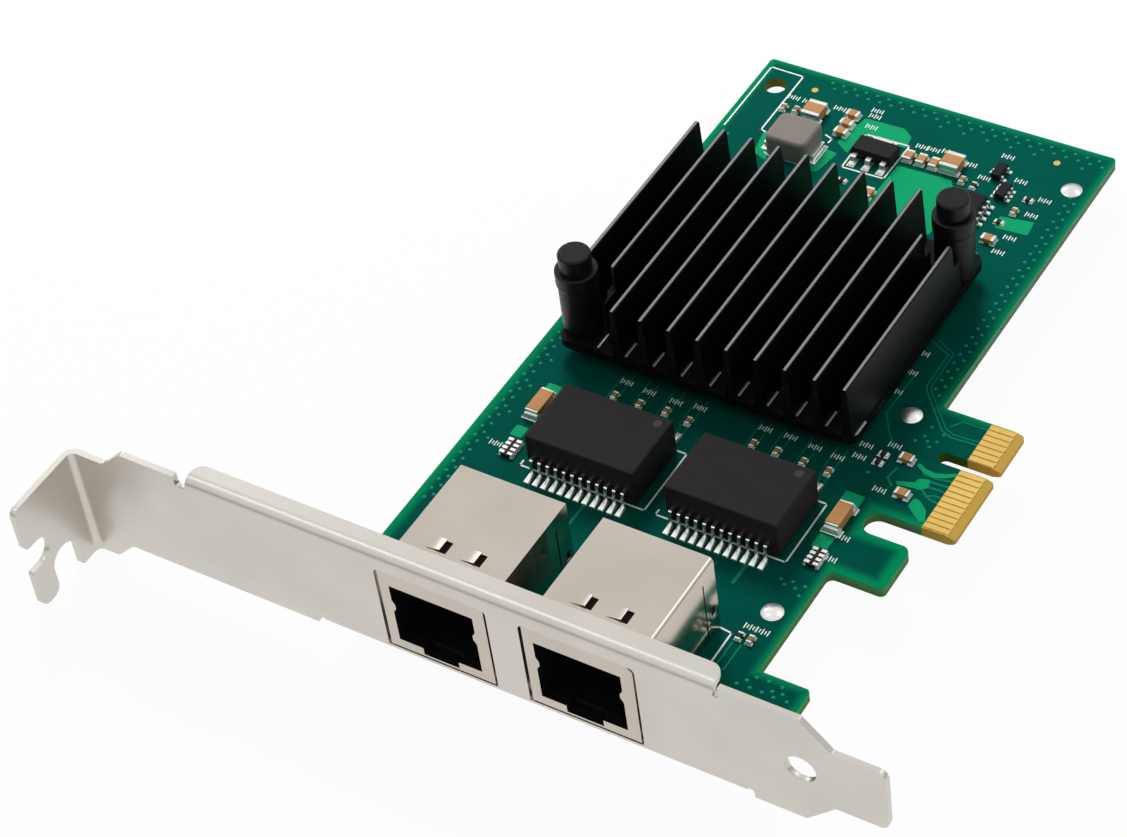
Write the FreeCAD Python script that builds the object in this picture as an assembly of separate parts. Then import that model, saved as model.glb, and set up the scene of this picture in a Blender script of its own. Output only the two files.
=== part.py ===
import FreeCAD, Part
import math
import os

# Dual port network interface card with a full height mounting bracket.
# Everything is set out from the bracket: X from the upper face of the bracket's tab
# towards the edge contacts, Y from the outer face of the bracket's plate into the card,
# Z up from the component side of the board. The finished pieces are then moved so that
# the origin lies on the centre line of the connector's key slot, at the tip of the
# contacts, on the component side.

V = FreeCAD.Vector

# How far a cutting shape stands past the faces that it cuts
cut_margin = 1.0

# Bracket sheet
sheet = 0.86
bracket_length = 120.02
bracket_width = 18.42
tab_offset = 3.17
tab_depth = 12.2
tab_bend_inner = 1.0
plate_bottom_z = -2.84
plate_top_z = plate_bottom_z + bracket_width
tab_bottom_z = plate_bottom_z - tab_offset
tab_top_z = plate_top_z - tab_offset
shoulder_top_x = 6.3
shoulder_bottom_x = 4.2
shoulder_radius = 1.2

# Screw slot and hook of the tab
screw_slot_width = 4.2
screw_slot_depth = 4.2
screw_slot_z = 2.95
hook_notch_width = 4.8
hook_notch_y = -6.1
hook_notch_top_z = 0.2
tab_corner_radius = 1.2
hook_radius = 1.6

# Tongue at the lower end of the bracket
tongue_width = 10.19
tongue_length = 7.1
tongue_corner_radius = 1.3
tongue_hole_radius = 2.1
tongue_hole_from_end = 11.5

# Folded edges of the bracket
flange_x1 = 19.9
flange_x2 = 97.3
flange_depth = 3.4
flange_bend_outer = 1.6
flange_corner_radius = 1.7
relief_tab_side = 1.6
relief_tongue_side = 0.7
relief_depth = 1.8
lower_relief_width = 1.3
edge_trim = 5.0
lower_flange_x1 = 38.8
lower_flange_x2 = 100.4
lower_flange_depth = 2.3
lower_bend_outer = 1.4
joggle_start = 2.3
joggle_run = 0.9
ear_width = 8.0
ear_depth = 9.8
ear_corner_radius = 2.4
ear_hole_radius = 1.45
ear_boss_radius = 2.3
ear_boss_height = 1.1

# Board
board_thickness = 1.57
board_bottom_z = -board_thickness
board_x1 = 38.3
board_x2 = 93.75
board_near_y = 2.6
board_length = 117.4
board_far_y = board_near_y + board_length
board_corner_radius = 0.6
tab_to_tip = 105.69
heel_x2 = 101.1
heel_y2 = 15.6
hook_x2 = 101.5
hook_y1 = 33.9
hook_y2 = 41.7
hook_inner_radius = 1.0

# Edge connector
pin_pitch = 1.0
key_y = 57.65
key_width = 1.9
key_inner_x = 97.3
near_pin_count = 11
far_pin_count = 7
key_to_first_pin = 1.5
outer_margin = 0.65
pad_width = 0.76
pad_x1 = 101.0
pad_x2 = 104.6
pad_thickness = 0.05
bevel_length = 1.2
bevel_depth = 0.42
contacts_near_y = key_y - key_to_first_pin - (near_pin_count - 1) * pin_pitch - outer_margin
contacts_far_y = key_y + key_to_first_pin + (far_pin_count - 1) * pin_pitch + outer_margin

# Board hole in the far corner, and holes for screws and pins
corner_hole_x = 41.8
corner_hole_y = 114.7
corner_hole_radius = 1.65
fit_clearance = 0.05
screw_shank_radius = 1.4
screw_hole_radius = 1.6
screw_head_radius = 2.75
screw_head_height = 1.8
screw_y = 6.3
screw_length = 4.6
screw_recess_width = 0.6
screw_recess_length = 2.6
screw_recess_depth = 0.8

# Sockets
jack_centres = (56.95, 78.15)
jack_width = 15.7
jack_top_z = 12.7
jack_front_y = 0.1
jack_back_y = 19.9
jack_lip_z = -1.25
jack_lip_y = 2.4
shield_sheet = 0.3
socket_width = 12.4
socket_offset = -0.2
socket_bottom_z = 0.2
socket_top_z = 10.3
socket_depth = 13.0
latch_width = 5.3
latch_bottom_z = -0.95
window_clearance_side = 0.4
window_clearance_end = 0.15
window_corner_radius = 0.8
flap_slit_from_back = 2.9
flap_slit_width = 0.22
flap_slit_top_z = 10.4
lug_hole_from_back = 1.2
lug_hole_width = 0.9
lug_hole_z1 = 3.4
lug_hole_z2 = 4.8
spring_slot_length = 0.8
spring_slot_width = 2.0
spring_slot_y = 7.0
spring_offsets = (-1.75, 3.35)
spring_rise = 0.45
spring_run = 2.4
side_spring_reach = 0.45
side_spring_z1 = 5.4
side_spring_z2 = 7.6
side_spring_y1 = 1.0
side_spring_y2 = 6.0
post_radius = 1.55
post_spacing = 11.4
post_y = 9.0
post_foot = 0.35
housing_floor = 0.3
sill_depth = 0.6
wire_channel_height = 0.45
swing_width = 9.0
wire_count = 8
wire_pitch = 1.02
wire_width = 0.36
wire_thickness = 0.32
wire_tip_y = 10.2
wire_tip_z = 7.0
wire_bend_y = 3.2
wire_tail_y = 14.6
wire_row_step = 2.4
wire_tail_foot = 1.3
wire_hole_radius = 0.42

# Transformer modules
module_centres = (57.7, 78.85)
module_y = 38.4
module_width = 16.6
module_depth = 10.9
module_bottom_z = 0.3
module_top_z = 5.9
module_edge = 0.35
module_top_chamfer = 0.2
lead_count = 12
lead_pitch = 1.27
lead_width = 0.46
lead_thickness = 0.25
lead_foot_length = 1.5
lead_shoulder_z = 2.7
lead_reach = 2.55

# Controller, pad and heat sink
sink_x = 64.8
sink_y = 72.0
sink_width = 45.5
sink_length = 38.4
sink_bottom_z = 1.9
sink_base_thickness = 1.4
sink_top_z = 12.0
sink_corner_radius = 1.6
fin_count = 11
fin_from_side = 0.95
fin_tip = 0.75
fin_root = 1.5
fin_pitch = (sink_width - 2 * fin_from_side) / (fin_count - 1)
chip_size = 17.0
chip_height = 1.6
chip_carrier_height = 0.6
chip_cap_inset = 1.0
pin_from_side = 2.25
pin_from_end = 4.0
pin_shift_x = -0.25
pin_pocket_radius = 4.9
pin_pocket_foot_radius = 3.7
pin_pocket_ledge = 3.8
pin_pocket_opening = 5.2
pin_shank_radius = 1.5
pin_board_hole_radius = 1.65
pin_cap_radius = 2.3
pin_cap_height = 2.9
pin_cap_edge = 0.25
sleeve_top_z = 13.6
sleeve_ring_radius = 3.0
sleeve_ring_height = 2.6
sleeve_radius = 2.8
barb_radius = 1.95
barb_shoulder = 0.5
barb_length = 2.8
barb_tip_radius = 0.8

# Power inductor
inductor_x = 50.95
inductor_y = 103.7
inductor_size_x = 6.7
inductor_size_y = 6.2
inductor_height = 3.6
inductor_corner = 1.2
inductor_edge = 0.4
inductor_terminal_reach = 0.7
inductor_terminal_width = 3.6
inductor_terminal_height = 1.1

# Voltage regulator
regulator_x = 62.4
regulator_y = 106.9
regulator_size_x = 6.5
regulator_size_y = 3.5
regulator_bottom_z = 0.1
regulator_top_z = 1.75
regulator_draft = 0.25
regulator_lead_pitch = 2.3
regulator_lead_width = 0.75
regulator_lead_reach = 1.75
regulator_lead_thickness = 0.28
regulator_tab_width = 3.1

# Memory chip
memory_x = 79.55
memory_y = 101.7
memory_size_x = 3.9
memory_size_y = 4.9
memory_bottom_z = 0.15
memory_top_z = 1.6
memory_draft = 0.12
memory_lead_count = 4
memory_lead_pitch = 1.27
memory_lead_width = 0.42
memory_lead_reach = 1.1
memory_lead_thickness = 0.22

# Small transistors: centre x and y, and how many leads are on the low x and the high x side
small_transistors = ((80.2, 110.4), (82.5, 106.8))
transistor_lead_counts = ((1, 2), (3, 3))
transistor_draft = 0.08
transistor_size_x = 1.5
transistor_size_y = 2.9
transistor_bottom_z = 0.1
transistor_top_z = 1.1
transistor_lead_reach = 0.6
transistor_lead_width = 0.4
transistor_lead_thickness = 0.15
transistor_lead_pitch = 0.95

# Chip parts: centre x, centre y, and the axis the part lies along
large_capacitors = ((50.2, 111.2, "y"), (73.5, 109.1, "y"))
large_length = 3.2
large_width = 2.9
large_height = 1.5
large_end = 0.7
long_capacitors = ((45.1, 43.1, "y"), (91.0, 42.1, "y"))
long_length = 4.6
long_width = 2.0
long_height = 1.5
long_end = 0.35
medium_capacitors = (
    (55.5, 113.1, "x"), (55.6, 111.0, "x"), (55.7, 109.0, "x"),
    (67.0, 108.3, "y"), (69.0, 108.3, "y"), (71.0, 108.3, "y"),
    (84.9, 97.3, "x"), (93.9, 55.2, "x"), (96.2, 49.4, "x"), (65.4, 98.9, "y"))
medium_length = 2.0
medium_width = 1.25
medium_height = 0.85
medium_end = 0.45
small_capacitors = (
    (45.4, 110.6, "y"), (47.3, 110.8, "y"), (85.6, 103.9, "y"), (76.1, 106.9, "y"),
    (53.2, 49.0, "y"), (57.05, 49.1, "y"), (61.0, 49.4, "y"), (64.6, 49.1, "y"),
    (74.4, 49.1, "y"), (77.9, 49.2, "y"), (81.9, 49.0, "y"), (85.7, 48.9, "y"),
    (90.6, 19.3, "y"), (83.9, 93.9, "x"))
small_length = 1.3
small_width = 0.75
small_height = 0.6
small_end = 0.3
small_resistors = (
    (90.7, 54.8, "x"), (90.7, 53.2, "x"), (78.0, 106.6, "y"), (86.3, 107.0, "x"),
    (84.6, 101.2, "x"), (60.6, 100.0, "x"), (89.0, 19.3, "y"))
resistor_height = 0.4
resistor_arrays = ((45.6, 34.7), (91.4, 34.9))
array_size_x = 1.3
array_size_y = 3.2
array_height = 0.6
array_terminal_count = 4
array_terminal_pitch = 0.8
array_terminal_width = 0.45
array_terminal_reach = 0.35

# Solder filled holes on the contact side of the board
solder_domes = ((90.7, 24.7), (90.7, 62.8), (90.8, 111.5))
dome_radius = 1.5
dome_height = 0.5

os.makedirs("parts", exist_ok=True)


def corner_arc(before, corner, after, radius):
    """Start, middle and end of the arc that rounds one corner of an outline."""
    ax, ay = before[0] - corner[0], before[1] - corner[1]
    bx, by = after[0] - corner[0], after[1] - corner[1]
    la, lb = math.hypot(ax, ay), math.hypot(bx, by)
    ax, ay, bx, by = ax / la, ay / la, bx / lb, by / lb
    half = math.acos(max(-1.0, min(1.0, ax * bx + ay * by))) / 2
    reach = radius / math.tan(half)
    mx, my = ax + bx, ay + by
    lm = math.hypot(mx, my)
    mx, my = mx / lm, my / lm
    centre_distance = radius / math.sin(half)
    start = (corner[0] + ax * reach, corner[1] + ay * reach)
    end = (corner[0] + bx * reach, corner[1] + by * reach)
    middle_distance = centre_distance - radius
    middle = (corner[0] + mx * middle_distance, corner[1] + my * middle_distance)
    return start, middle, end


def prism(points, plane, start, depth):
    """Closed outline with rounded corners, pushed out along the plane's normal.

    Each point is (first, second, corner radius) in the plane's two axes.
    """
    def place(p):
        if plane == "xy":
            return V(p[0], p[1], start)
        if plane == "xz":
            return V(p[0], start, p[1])
        return V(start, p[0], p[1])

    direction = {"xy": V(0, 0, depth), "xz": V(0, depth, 0), "yz": V(depth, 0, 0)}[plane]
    count = len(points)
    stops = []
    for i in range(count):
        p = points[i]
        radius = p[2] if len(p) > 2 else 0
        if radius > 0:
            stops.append(corner_arc(points[i - 1], p, points[(i + 1) % count], radius))
        else:
            stops.append((p[:2], None, p[:2]))
    edges = []
    for i in range(count):
        here = stops[i]
        following = stops[(i + 1) % count]
        if here[1] is not None:
            edges.append(Part.Arc(place(here[0]), place(here[1]), place(here[2])).toShape())
        if math.dist(here[2], following[0]) > 1e-6:
            edges.append(Part.makeLine(place(here[2]), place(following[0])))
    return Part.Face(Part.Wire(edges)).extrude(direction)


def box(x1, x2, y1, y2, z1, z2):
    return Part.makeBox(x2 - x1, y2 - y1, z2 - z1, V(x1, y1, z1))


def rod(x, y, z1, z2, radius):
    return Part.makeCylinder(radius, z2 - z1, V(x, y, z1))


def turned(x, y, profile):
    """Solid of revolution about a vertical axis; profile is a list of (radius, z)."""
    points = [V(x + r, y, z) for r, z in profile]
    face = Part.Face(Part.makePolygon(points + [points[0]]))
    return face.revolve(V(x, y, 0), V(0, 0, 1), 360)


def joined(shapes):
    whole = shapes[0]
    if len(shapes) > 1:
        whole = whole.fuse(shapes[1:])
    return whole.removeSplitter()


def top_edges(shape, z):
    """Edges of a shape that lie flat at one height."""
    return [edge for edge in shape.Edges
            if abs(edge.BoundBox.ZMin - z) < 1e-6 and abs(edge.BoundBox.ZMax - z) < 1e-6]


def save(name, shapes):
    """Move a piece, or a group of like pieces, to the origin and write it out."""
    group = shapes if isinstance(shapes, list) else [shapes]
    moved = []
    for shape in group:
        copy = shape.copy()
        copy.translate(V(-tab_to_tip, -key_y, 0))
        moved.extend(copy.Solids)
    whole = moved[0] if len(moved) == 1 else Part.makeCompound(moved)
    whole.exportStep("parts/" + name + ".step")
    print(name, len(moved), "solids", round(whole.Volume, 3))


# Bracket
# The tab and its bend are one profile pushed up along Z; the plate is cut from its own
# outline; the two long folds are profiles pushed along X.
def make_bracket():
    bend = tab_bend_inner
    outer = bend + sheet
    tab = prism(
        [(0, -tab_depth), (0, sheet, outer), (outer, sheet), (outer, 0),
         (sheet, 0, bend), (sheet, -tab_depth)],
        "xy", tab_bottom_z, tab_top_z - tab_bottom_z)
    slot_z = screw_slot_z
    slot_radius = screw_slot_width / 2
    slot_centre_y = -tab_depth + screw_slot_depth - slot_radius
    low, high = slot_z - slot_radius, slot_z + slot_radius
    notch_radius = hook_notch_width / 2
    notch_centre_z = hook_notch_top_z - notch_radius
    left, right = hook_notch_y - notch_radius, hook_notch_y + notch_radius
    free_end = prism(
        [(1, tab_top_z), (1, tab_bottom_z), (right, tab_bottom_z, 0.8),
         (right, hook_notch_top_z, notch_radius * 0.99), (left, hook_notch_top_z, notch_radius * 0.99),
         (left, tab_bottom_z, hook_radius), (-tab_depth, tab_bottom_z, hook_radius),
         (-tab_depth, low, 0.5), (slot_centre_y + slot_radius, low, slot_radius * 0.99),
         (slot_centre_y + slot_radius, high, slot_radius * 0.99), (-tab_depth, high, 1.0),
         (-tab_depth, tab_top_z, tab_corner_radius)],
        "yz", -cut_margin, outer + 2 * cut_margin)
    tab = tab.common(free_end)

    lower_outer_z = board_bottom_z - sheet
    slant = tab_offset
    tongue_side = (bracket_width - tongue_width) / 2
    tongue_x = bracket_length - tongue_length
    plate = prism(
        [(outer, tab_bottom_z), (shoulder_bottom_x, tab_bottom_z, shoulder_radius),
         (shoulder_bottom_x + slant, plate_bottom_z, shoulder_radius),
         (tongue_x - tongue_side, plate_bottom_z, 0.5),
         (tongue_x, plate_bottom_z + tongue_side, 0.5),
         (bracket_length, plate_bottom_z + tongue_side, tongue_corner_radius),
         (bracket_length, plate_top_z - tongue_side, tongue_corner_radius),
         (tongue_x, plate_top_z - tongue_side, 0.5),
         (tongue_x - tongue_side, plate_top_z, 0.5),
         (shoulder_top_x + slant, plate_top_z, shoulder_radius),
         (shoulder_top_x, tab_top_z, shoulder_radius), (outer, tab_top_z)],
        "xz", 0, sheet)
    reliefs = []
    for x, width in ((flange_x1 - relief_tab_side, relief_tab_side), (flange_x2, relief_tongue_side)):
        corner = width / 2 * 0.6
        reliefs.append(prism(
            [(x, plate_top_z + 1), (x, plate_top_z - relief_depth, corner),
             (x + width, plate_top_z - relief_depth, corner), (x + width, plate_top_z + 1)],
            "xz", -cut_margin, sheet + 2 * cut_margin))
    for x in (lower_flange_x1 - lower_relief_width, lower_flange_x2):
        width = lower_relief_width
        reliefs.append(prism(
            [(x, plate_bottom_z - 1), (x, plate_bottom_z + width, width * 0.35),
             (x + width, plate_bottom_z + width, width * 0.35), (x + width, plate_bottom_z - 1)],
            "xz", -cut_margin, sheet + 2 * cut_margin))
    reliefs.append(box(flange_x1, flange_x2, -1, sheet + 1,
                       plate_top_z - flange_bend_outer, plate_top_z + 1))
    reliefs.append(box(lower_flange_x1, lower_flange_x2, -1, sheet + 1,
                       plate_bottom_z - 1, plate_bottom_z + lower_bend_outer))
    plate = plate.cut(reliefs)

    upper = prism(
        [(0, plate_top_z - flange_bend_outer), (0, plate_top_z, flange_bend_outer * 0.999),
         (flange_depth, plate_top_z), (flange_depth, plate_top_z - sheet),
         (sheet, plate_top_z - sheet, flange_bend_outer - sheet),
         (sheet, plate_top_z - flange_bend_outer)],
        "yz", flange_x1, flange_x2 - flange_x1)
    trim = prism(
        [(flange_x1, -1), (flange_x1, flange_depth, flange_corner_radius),
         (flange_x2, flange_depth, flange_corner_radius), (flange_x2, -1)],
        "xy", plate_top_z - edge_trim, 2 * edge_trim)
    upper = upper.common(trim)

    fold_z = plate_bottom_z
    slope_end = joggle_start + joggle_run
    lower = prism(
        [(0, fold_z + lower_bend_outer), (0, fold_z, lower_bend_outer * 0.999),
         (joggle_start, fold_z, 0.4), (slope_end, lower_outer_z, 0.4),
         (ear_depth, lower_outer_z), (ear_depth, board_bottom_z),
         (slope_end, board_bottom_z, 0.4), (joggle_start, fold_z + sheet, 0.4),
         (sheet, fold_z + sheet, lower_bend_outer - sheet),
         (sheet, fold_z + lower_bend_outer)],
        "yz", lower_flange_x1, lower_flange_x2 - lower_flange_x1)
    a, b = lower_flange_x1, lower_flange_x2
    ears = prism(
        [(a, -1), (a, ear_depth, ear_corner_radius), (a + ear_width, ear_depth, ear_corner_radius),
         (a + ear_width, lower_flange_depth, 1.5), (b - ear_width, lower_flange_depth, 1.5),
         (b - ear_width, ear_depth, ear_corner_radius), (b, ear_depth, ear_corner_radius), (b, -1)],
        "xy", lower_outer_z - edge_trim, 2 * edge_trim)
    lower = lower.common(ears)

    bracket = joined([tab, plate, upper, lower])
    bosses = [rod(x, screw_y, lower_outer_z - ear_boss_height, lower_outer_z, ear_boss_radius)
              for x in screw_positions()]
    bracket = joined([bracket] + bosses)
    cuts = [rod(x, screw_y, lower_outer_z - edge_trim, board_bottom_z + 1, ear_hole_radius)
            for x in screw_positions()]
    for centre in jack_centres:
        half = jack_width / 2 + window_clearance_side
        cuts.append(prism(
            [(centre - half, jack_lip_z - window_clearance_end),
             (centre + half, jack_lip_z - window_clearance_end),
             (centre + half, jack_top_z + window_clearance_end, window_corner_radius),
             (centre - half, jack_top_z + window_clearance_end, window_corner_radius)],
            "xz", -cut_margin, sheet + 2 * cut_margin))
    hole_z = (plate_bottom_z + plate_top_z) / 2
    cuts.append(Part.makeCylinder(
        tongue_hole_radius, sheet + 2 * cut_margin,
        V(bracket_length - tongue_hole_from_end, -cut_margin, hole_z), V(0, 1, 0)))
    return bracket.cut(cuts)


def screw_positions():
    return (lower_flange_x1 + ear_width / 2, lower_flange_x2 - ear_width / 2)


save("mounting_bracket", make_bracket())


# Board
def make_board():
    tip = tab_to_tip
    slot_radius = (contacts_near_y - hook_y2) / 2
    outline = [
        (board_x1, board_near_y, board_corner_radius), (heel_x2, board_near_y, board_corner_radius),
        (heel_x2, heel_y2, board_corner_radius), (board_x2, heel_y2, 0.4),
        (board_x2, hook_y1, hook_inner_radius), (hook_x2, hook_y1, 0.8), (hook_x2, hook_y2, 1.2),
        (board_x2, hook_y2, slot_radius * 0.99), (board_x2, contacts_near_y, slot_radius * 0.99),
        (tip, contacts_near_y, 0.5), (tip, key_y - key_width / 2, 0.3),
        (key_inner_x, key_y - key_width / 2, key_width / 2 * 0.99),
        (key_inner_x, key_y + key_width / 2, key_width / 2 * 0.99), (tip, key_y + key_width / 2, 0.3),
        (tip, contacts_far_y, 0.5), (board_x2, contacts_far_y, 0.6),
        (board_x2, board_far_y, board_corner_radius), (board_x1, board_far_y, board_corner_radius)]
    board = prism(outline, "xy", board_bottom_z, board_thickness)
    bevel_x = tip - bevel_length
    upper = prism([(bevel_x, 0), (tip + 1, 0.5), (tip + 1, -bevel_depth * (bevel_length + 1) / bevel_length)],
                  "xz", contacts_near_y - 1, contacts_far_y - contacts_near_y + 2)
    low = board_bottom_z
    lower = prism([(bevel_x, low), (tip + 1, low - 0.5),
                   (tip + 1, low + bevel_depth * (bevel_length + 1) / bevel_length)],
                  "xz", contacts_near_y - 1, contacts_far_y - contacts_near_y + 2)
    holes = [rod(corner_hole_x, corner_hole_y, low - 1, 1, corner_hole_radius)]
    holes += [rod(x, screw_y, low - 1, 1, screw_hole_radius) for x in screw_positions()]
    holes += [rod(x, y, low - 1, 1, pin_board_hole_radius) for x, y in pin_positions()]
    for centre in jack_centres:
        for side in (-1, 1):
            holes.append(rod(centre + side * post_spacing / 2, post_y, low - 1, 1,
                             post_radius + fit_clearance))
        for i in range(wire_count):
            holes.append(rod(wire_x(centre, i), wire_tail(i), low - 1, 1, wire_hole_radius))
    return board.cut([upper, lower] + holes)


def pin_positions():
    across = sink_width / 2 - pin_from_side
    along = sink_length / 2 - pin_from_end
    x = sink_x + pin_shift_x
    return ((x - across, sink_y - along), (x + across, sink_y + along))


def wire_x(centre, i):
    return centre + (i - (wire_count - 1) / 2) * wire_pitch


def wire_tail(i):
    return wire_tail_y + (i % 2) * wire_row_step


save("circuit_board", make_board())


# Edge contacts, on both faces of the board
contacts = []
for i in range(near_pin_count + far_pin_count):
    if i < near_pin_count:
        centre = key_y - key_to_first_pin - (near_pin_count - 1 - i) * pin_pitch
    else:
        centre = key_y + key_to_first_pin + (i - near_pin_count) * pin_pitch
    y1, y2 = centre - pad_width / 2, centre + pad_width / 2
    contacts.append(box(pad_x1, pad_x2, y1, y2, 0, pad_thickness))
    contacts.append(box(pad_x1, pad_x2, y1, y2, board_bottom_z - pad_thickness, board_bottom_z))
save("edge_contacts", contacts)


# Screws that hold the board on the bracket's ears
screws = []
for x in screw_positions():
    head = turned(x, screw_y, [(0, 0), (screw_head_radius, 0), (screw_head_radius, screw_head_height * 0.55),
                               (screw_head_radius * 0.72, screw_head_height * 0.92),
                               (screw_head_radius * 0.4, screw_head_height), (0, screw_head_height)])
    shank = rod(x, screw_y, -screw_length, 0, screw_shank_radius)
    screw = joined([head, shank])
    z1 = screw_head_height - screw_recess_depth
    a, b = screw_recess_width / 2, screw_recess_length / 2
    screw = screw.cut([box(x - a, x + a, screw_y - b, screw_y + b, z1, screw_head_height + 1),
                       box(x - b, x + b, screw_y - a, screw_y + a, z1, screw_head_height + 1)])
    screws.append(screw)
save("bracket_screws", screws)


# Sockets: a folded metal shield over a plastic housing with eight spring wires
def make_shield(centre):
    half = jack_width / 2
    t = shield_sheet
    body = box(centre - half, centre + half, jack_front_y, jack_back_y, 0, jack_top_z)
    lip = box(centre - half, centre + half, jack_front_y, jack_lip_y, jack_lip_z, 0)
    body = joined([body, lip])
    inside = box(centre - half + t, centre + half - t, jack_front_y + t, jack_back_y - t,
                 jack_lip_z - 1, jack_top_z - t)
    s = socket_width / 2
    n = latch_width / 2
    middle = centre + socket_offset
    mouth = prism([(middle - s, socket_bottom_z), (middle - n, socket_bottom_z),
                   (middle - n, latch_bottom_z), (middle + n, latch_bottom_z),
                   (middle + n, socket_bottom_z), (middle + s, socket_bottom_z),
                   (middle + s, socket_top_z), (middle - s, socket_top_z)],
                  "xz", jack_front_y - 1, t + 1.5)
    shield = body.cut([inside, mouth])
    extra = []
    slots = []
    for offset in spring_offsets:
        x = centre + offset - spring_slot_length / 2
        y1 = spring_slot_y - spring_slot_width / 2
        slots.append(box(x, x + spring_slot_length, y1, y1 + spring_slot_width,
                         jack_top_z - t - 0.1, jack_top_z + 1))
        extra.append(prism([(x - spring_run, jack_top_z - t), (x - spring_run, jack_top_z),
                            (x, jack_top_z + spring_rise), (x, jack_top_z - t)],
                           "xz", y1, spring_slot_width))
    low, high = side_spring_z1, side_spring_z2
    for side in (-1, 1):
        wall = middle + side * s
        tip = middle + side * (s - side_spring_reach)
        rise = (high - low) / 3
        extra.append(prism([(wall + side * t, low), (wall, low), (tip, low + rise), (tip, high - rise),
                            (wall, high), (wall + side * t, high)],
                           "xz", jack_front_y, t))
        side_x = centre + side * half
        y = jack_back_y - flap_slit_from_back
        slots.append(box(side_x - 2 * t, side_x + 2 * t, y - flap_slit_width / 2, y + flap_slit_width / 2,
                         -1, flap_slit_top_z))
        y = jack_back_y - lug_hole_from_back
        slots.append(box(side_x - 2 * t, side_x + 2 * t, y - lug_hole_width / 2, y + lug_hole_width / 2,
                         lug_hole_z1, lug_hole_z2))
    return joined([shield] + extra).cut(slots)


def make_wires(centre):
    wires = []
    t = wire_thickness
    ceiling = socket_top_z + wire_channel_height
    for i in range(wire_count):
        x = wire_x(centre, i)
        tail = wire_tail(i)
        top = ceiling + t
        profile = [
            (tail + t / 2, board_bottom_z - wire_tail_foot), (tail + t / 2, top, 0.5),
            (wire_bend_y, top, 0.6), (wire_bend_y, ceiling - 0.6, 0.3),
            (wire_tip_y, wire_tip_z), (wire_tip_y, wire_tip_z + t * 1.2),
            (wire_bend_y + 0.5, ceiling - 0.15, 0.12), (wire_bend_y + 0.5, ceiling),
            (tail - t / 2, ceiling), (tail - t / 2, board_bottom_z - wire_tail_foot)]
        wires.append(prism(profile, "yz", x - wire_width / 2, wire_width))
    return wires


def make_housing(centre, wires):
    t = shield_sheet
    half = jack_width / 2 - t
    front = jack_front_y + t
    back = jack_back_y - t
    block = box(centre - half, centre + half, front, back, 0, jack_top_z - t)
    lip = box(centre - half, centre + half, front, jack_lip_y, jack_lip_z, 0)
    posts = [rod(centre + side * post_spacing / 2, post_y, board_bottom_z - post_foot, 0, post_radius)
             for side in (-1, 1)]
    block = joined([block, lip] + posts)
    s = socket_width / 2
    n = latch_width / 2
    middle = centre + socket_offset
    floor = socket_bottom_z + housing_floor
    ceiling = socket_top_z + wire_channel_height
    cavity = box(middle - s, middle + s, front - 1, socket_depth, floor, socket_top_z)
    sill = box(middle - s, middle + s, front - 1, front + sill_depth, socket_bottom_z, socket_top_z)
    latch = box(middle - n, middle + n, front - 1, jack_lip_y - sill_depth, latch_bottom_z, floor)
    channel = box(middle - n, middle + n, front - 1, socket_depth, socket_bottom_z / 2, floor)
    swing = box(centre - swing_width / 2, centre + swing_width / 2, wire_bend_y - 0.2, wire_tip_y + 1.2,
                socket_top_z - 0.2, ceiling)
    return block.cut([cavity, sill, latch, channel, swing] + wires)


for centre, side in zip(jack_centres, ("left", "right")):
    save("socket_shield_" + side, make_shield(centre))
    spring_wires = make_wires(centre)
    save("socket_housing_" + side, make_housing(centre, spring_wires))
    save("socket_wires_" + side, spring_wires)


# Transformer modules: a moulded block with twelve gull wing leads on each long side
def gull_lead(x, wall, direction, width, thickness, reach, shoulder, foot):
    """Lead that leaves a wall at a height, drops to the board and ends in a flat foot."""
    def y(distance):
        return wall + direction * distance

    bend = reach - foot
    points = [(y(0), shoulder), (y(bend), shoulder, thickness),
              (y(bend + thickness), thickness, thickness * 0.4), (y(reach), thickness),
              (y(reach), 0), (y(bend), 0, thickness),
              (y(bend - thickness), shoulder - thickness, thickness * 0.4), (y(0), shoulder - thickness)]
    return prism(points, "yz", x - width / 2, width)


for centre, side in zip(module_centres, ("left", "right")):
    half_x, half_y = module_width / 2, module_depth / 2
    e = module_edge
    body = prism([(centre - half_x, module_y - half_y, e), (centre + half_x, module_y - half_y, e),
                  (centre + half_x, module_y + half_y, e), (centre - half_x, module_y + half_y, e)],
                 "xy", module_bottom_z, module_top_z - module_bottom_z)
    body = body.makeChamfer(module_top_chamfer, top_edges(body, module_top_z))
    save("transformer_body_" + side, body)
    leads = []
    for i in range(lead_count):
        x = centre + (i - (lead_count - 1) / 2) * lead_pitch
        for direction in (-1, 1):
            leads.append(gull_lead(x, module_y + direction * half_y, direction, lead_width, lead_thickness,
                                   lead_reach, lead_shoulder_z, lead_foot_length))
    save("transformer_leads_" + side, leads)


# Controller chip, thermal pad and heat sink
half = chip_size / 2
carrier = box(sink_x - half, sink_x + half, sink_y - half, sink_y + half, 0, chip_carrier_height)
inner = half - chip_cap_inset
cap = box(sink_x - inner, sink_x + inner, sink_y - inner, sink_y + inner, chip_carrier_height, chip_height)
save("controller_chip", joined([carrier, cap]))
save("thermal_pad", box(sink_x - inner, sink_x + inner, sink_y - inner, sink_y + inner,
                        chip_height, sink_bottom_z))


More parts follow.
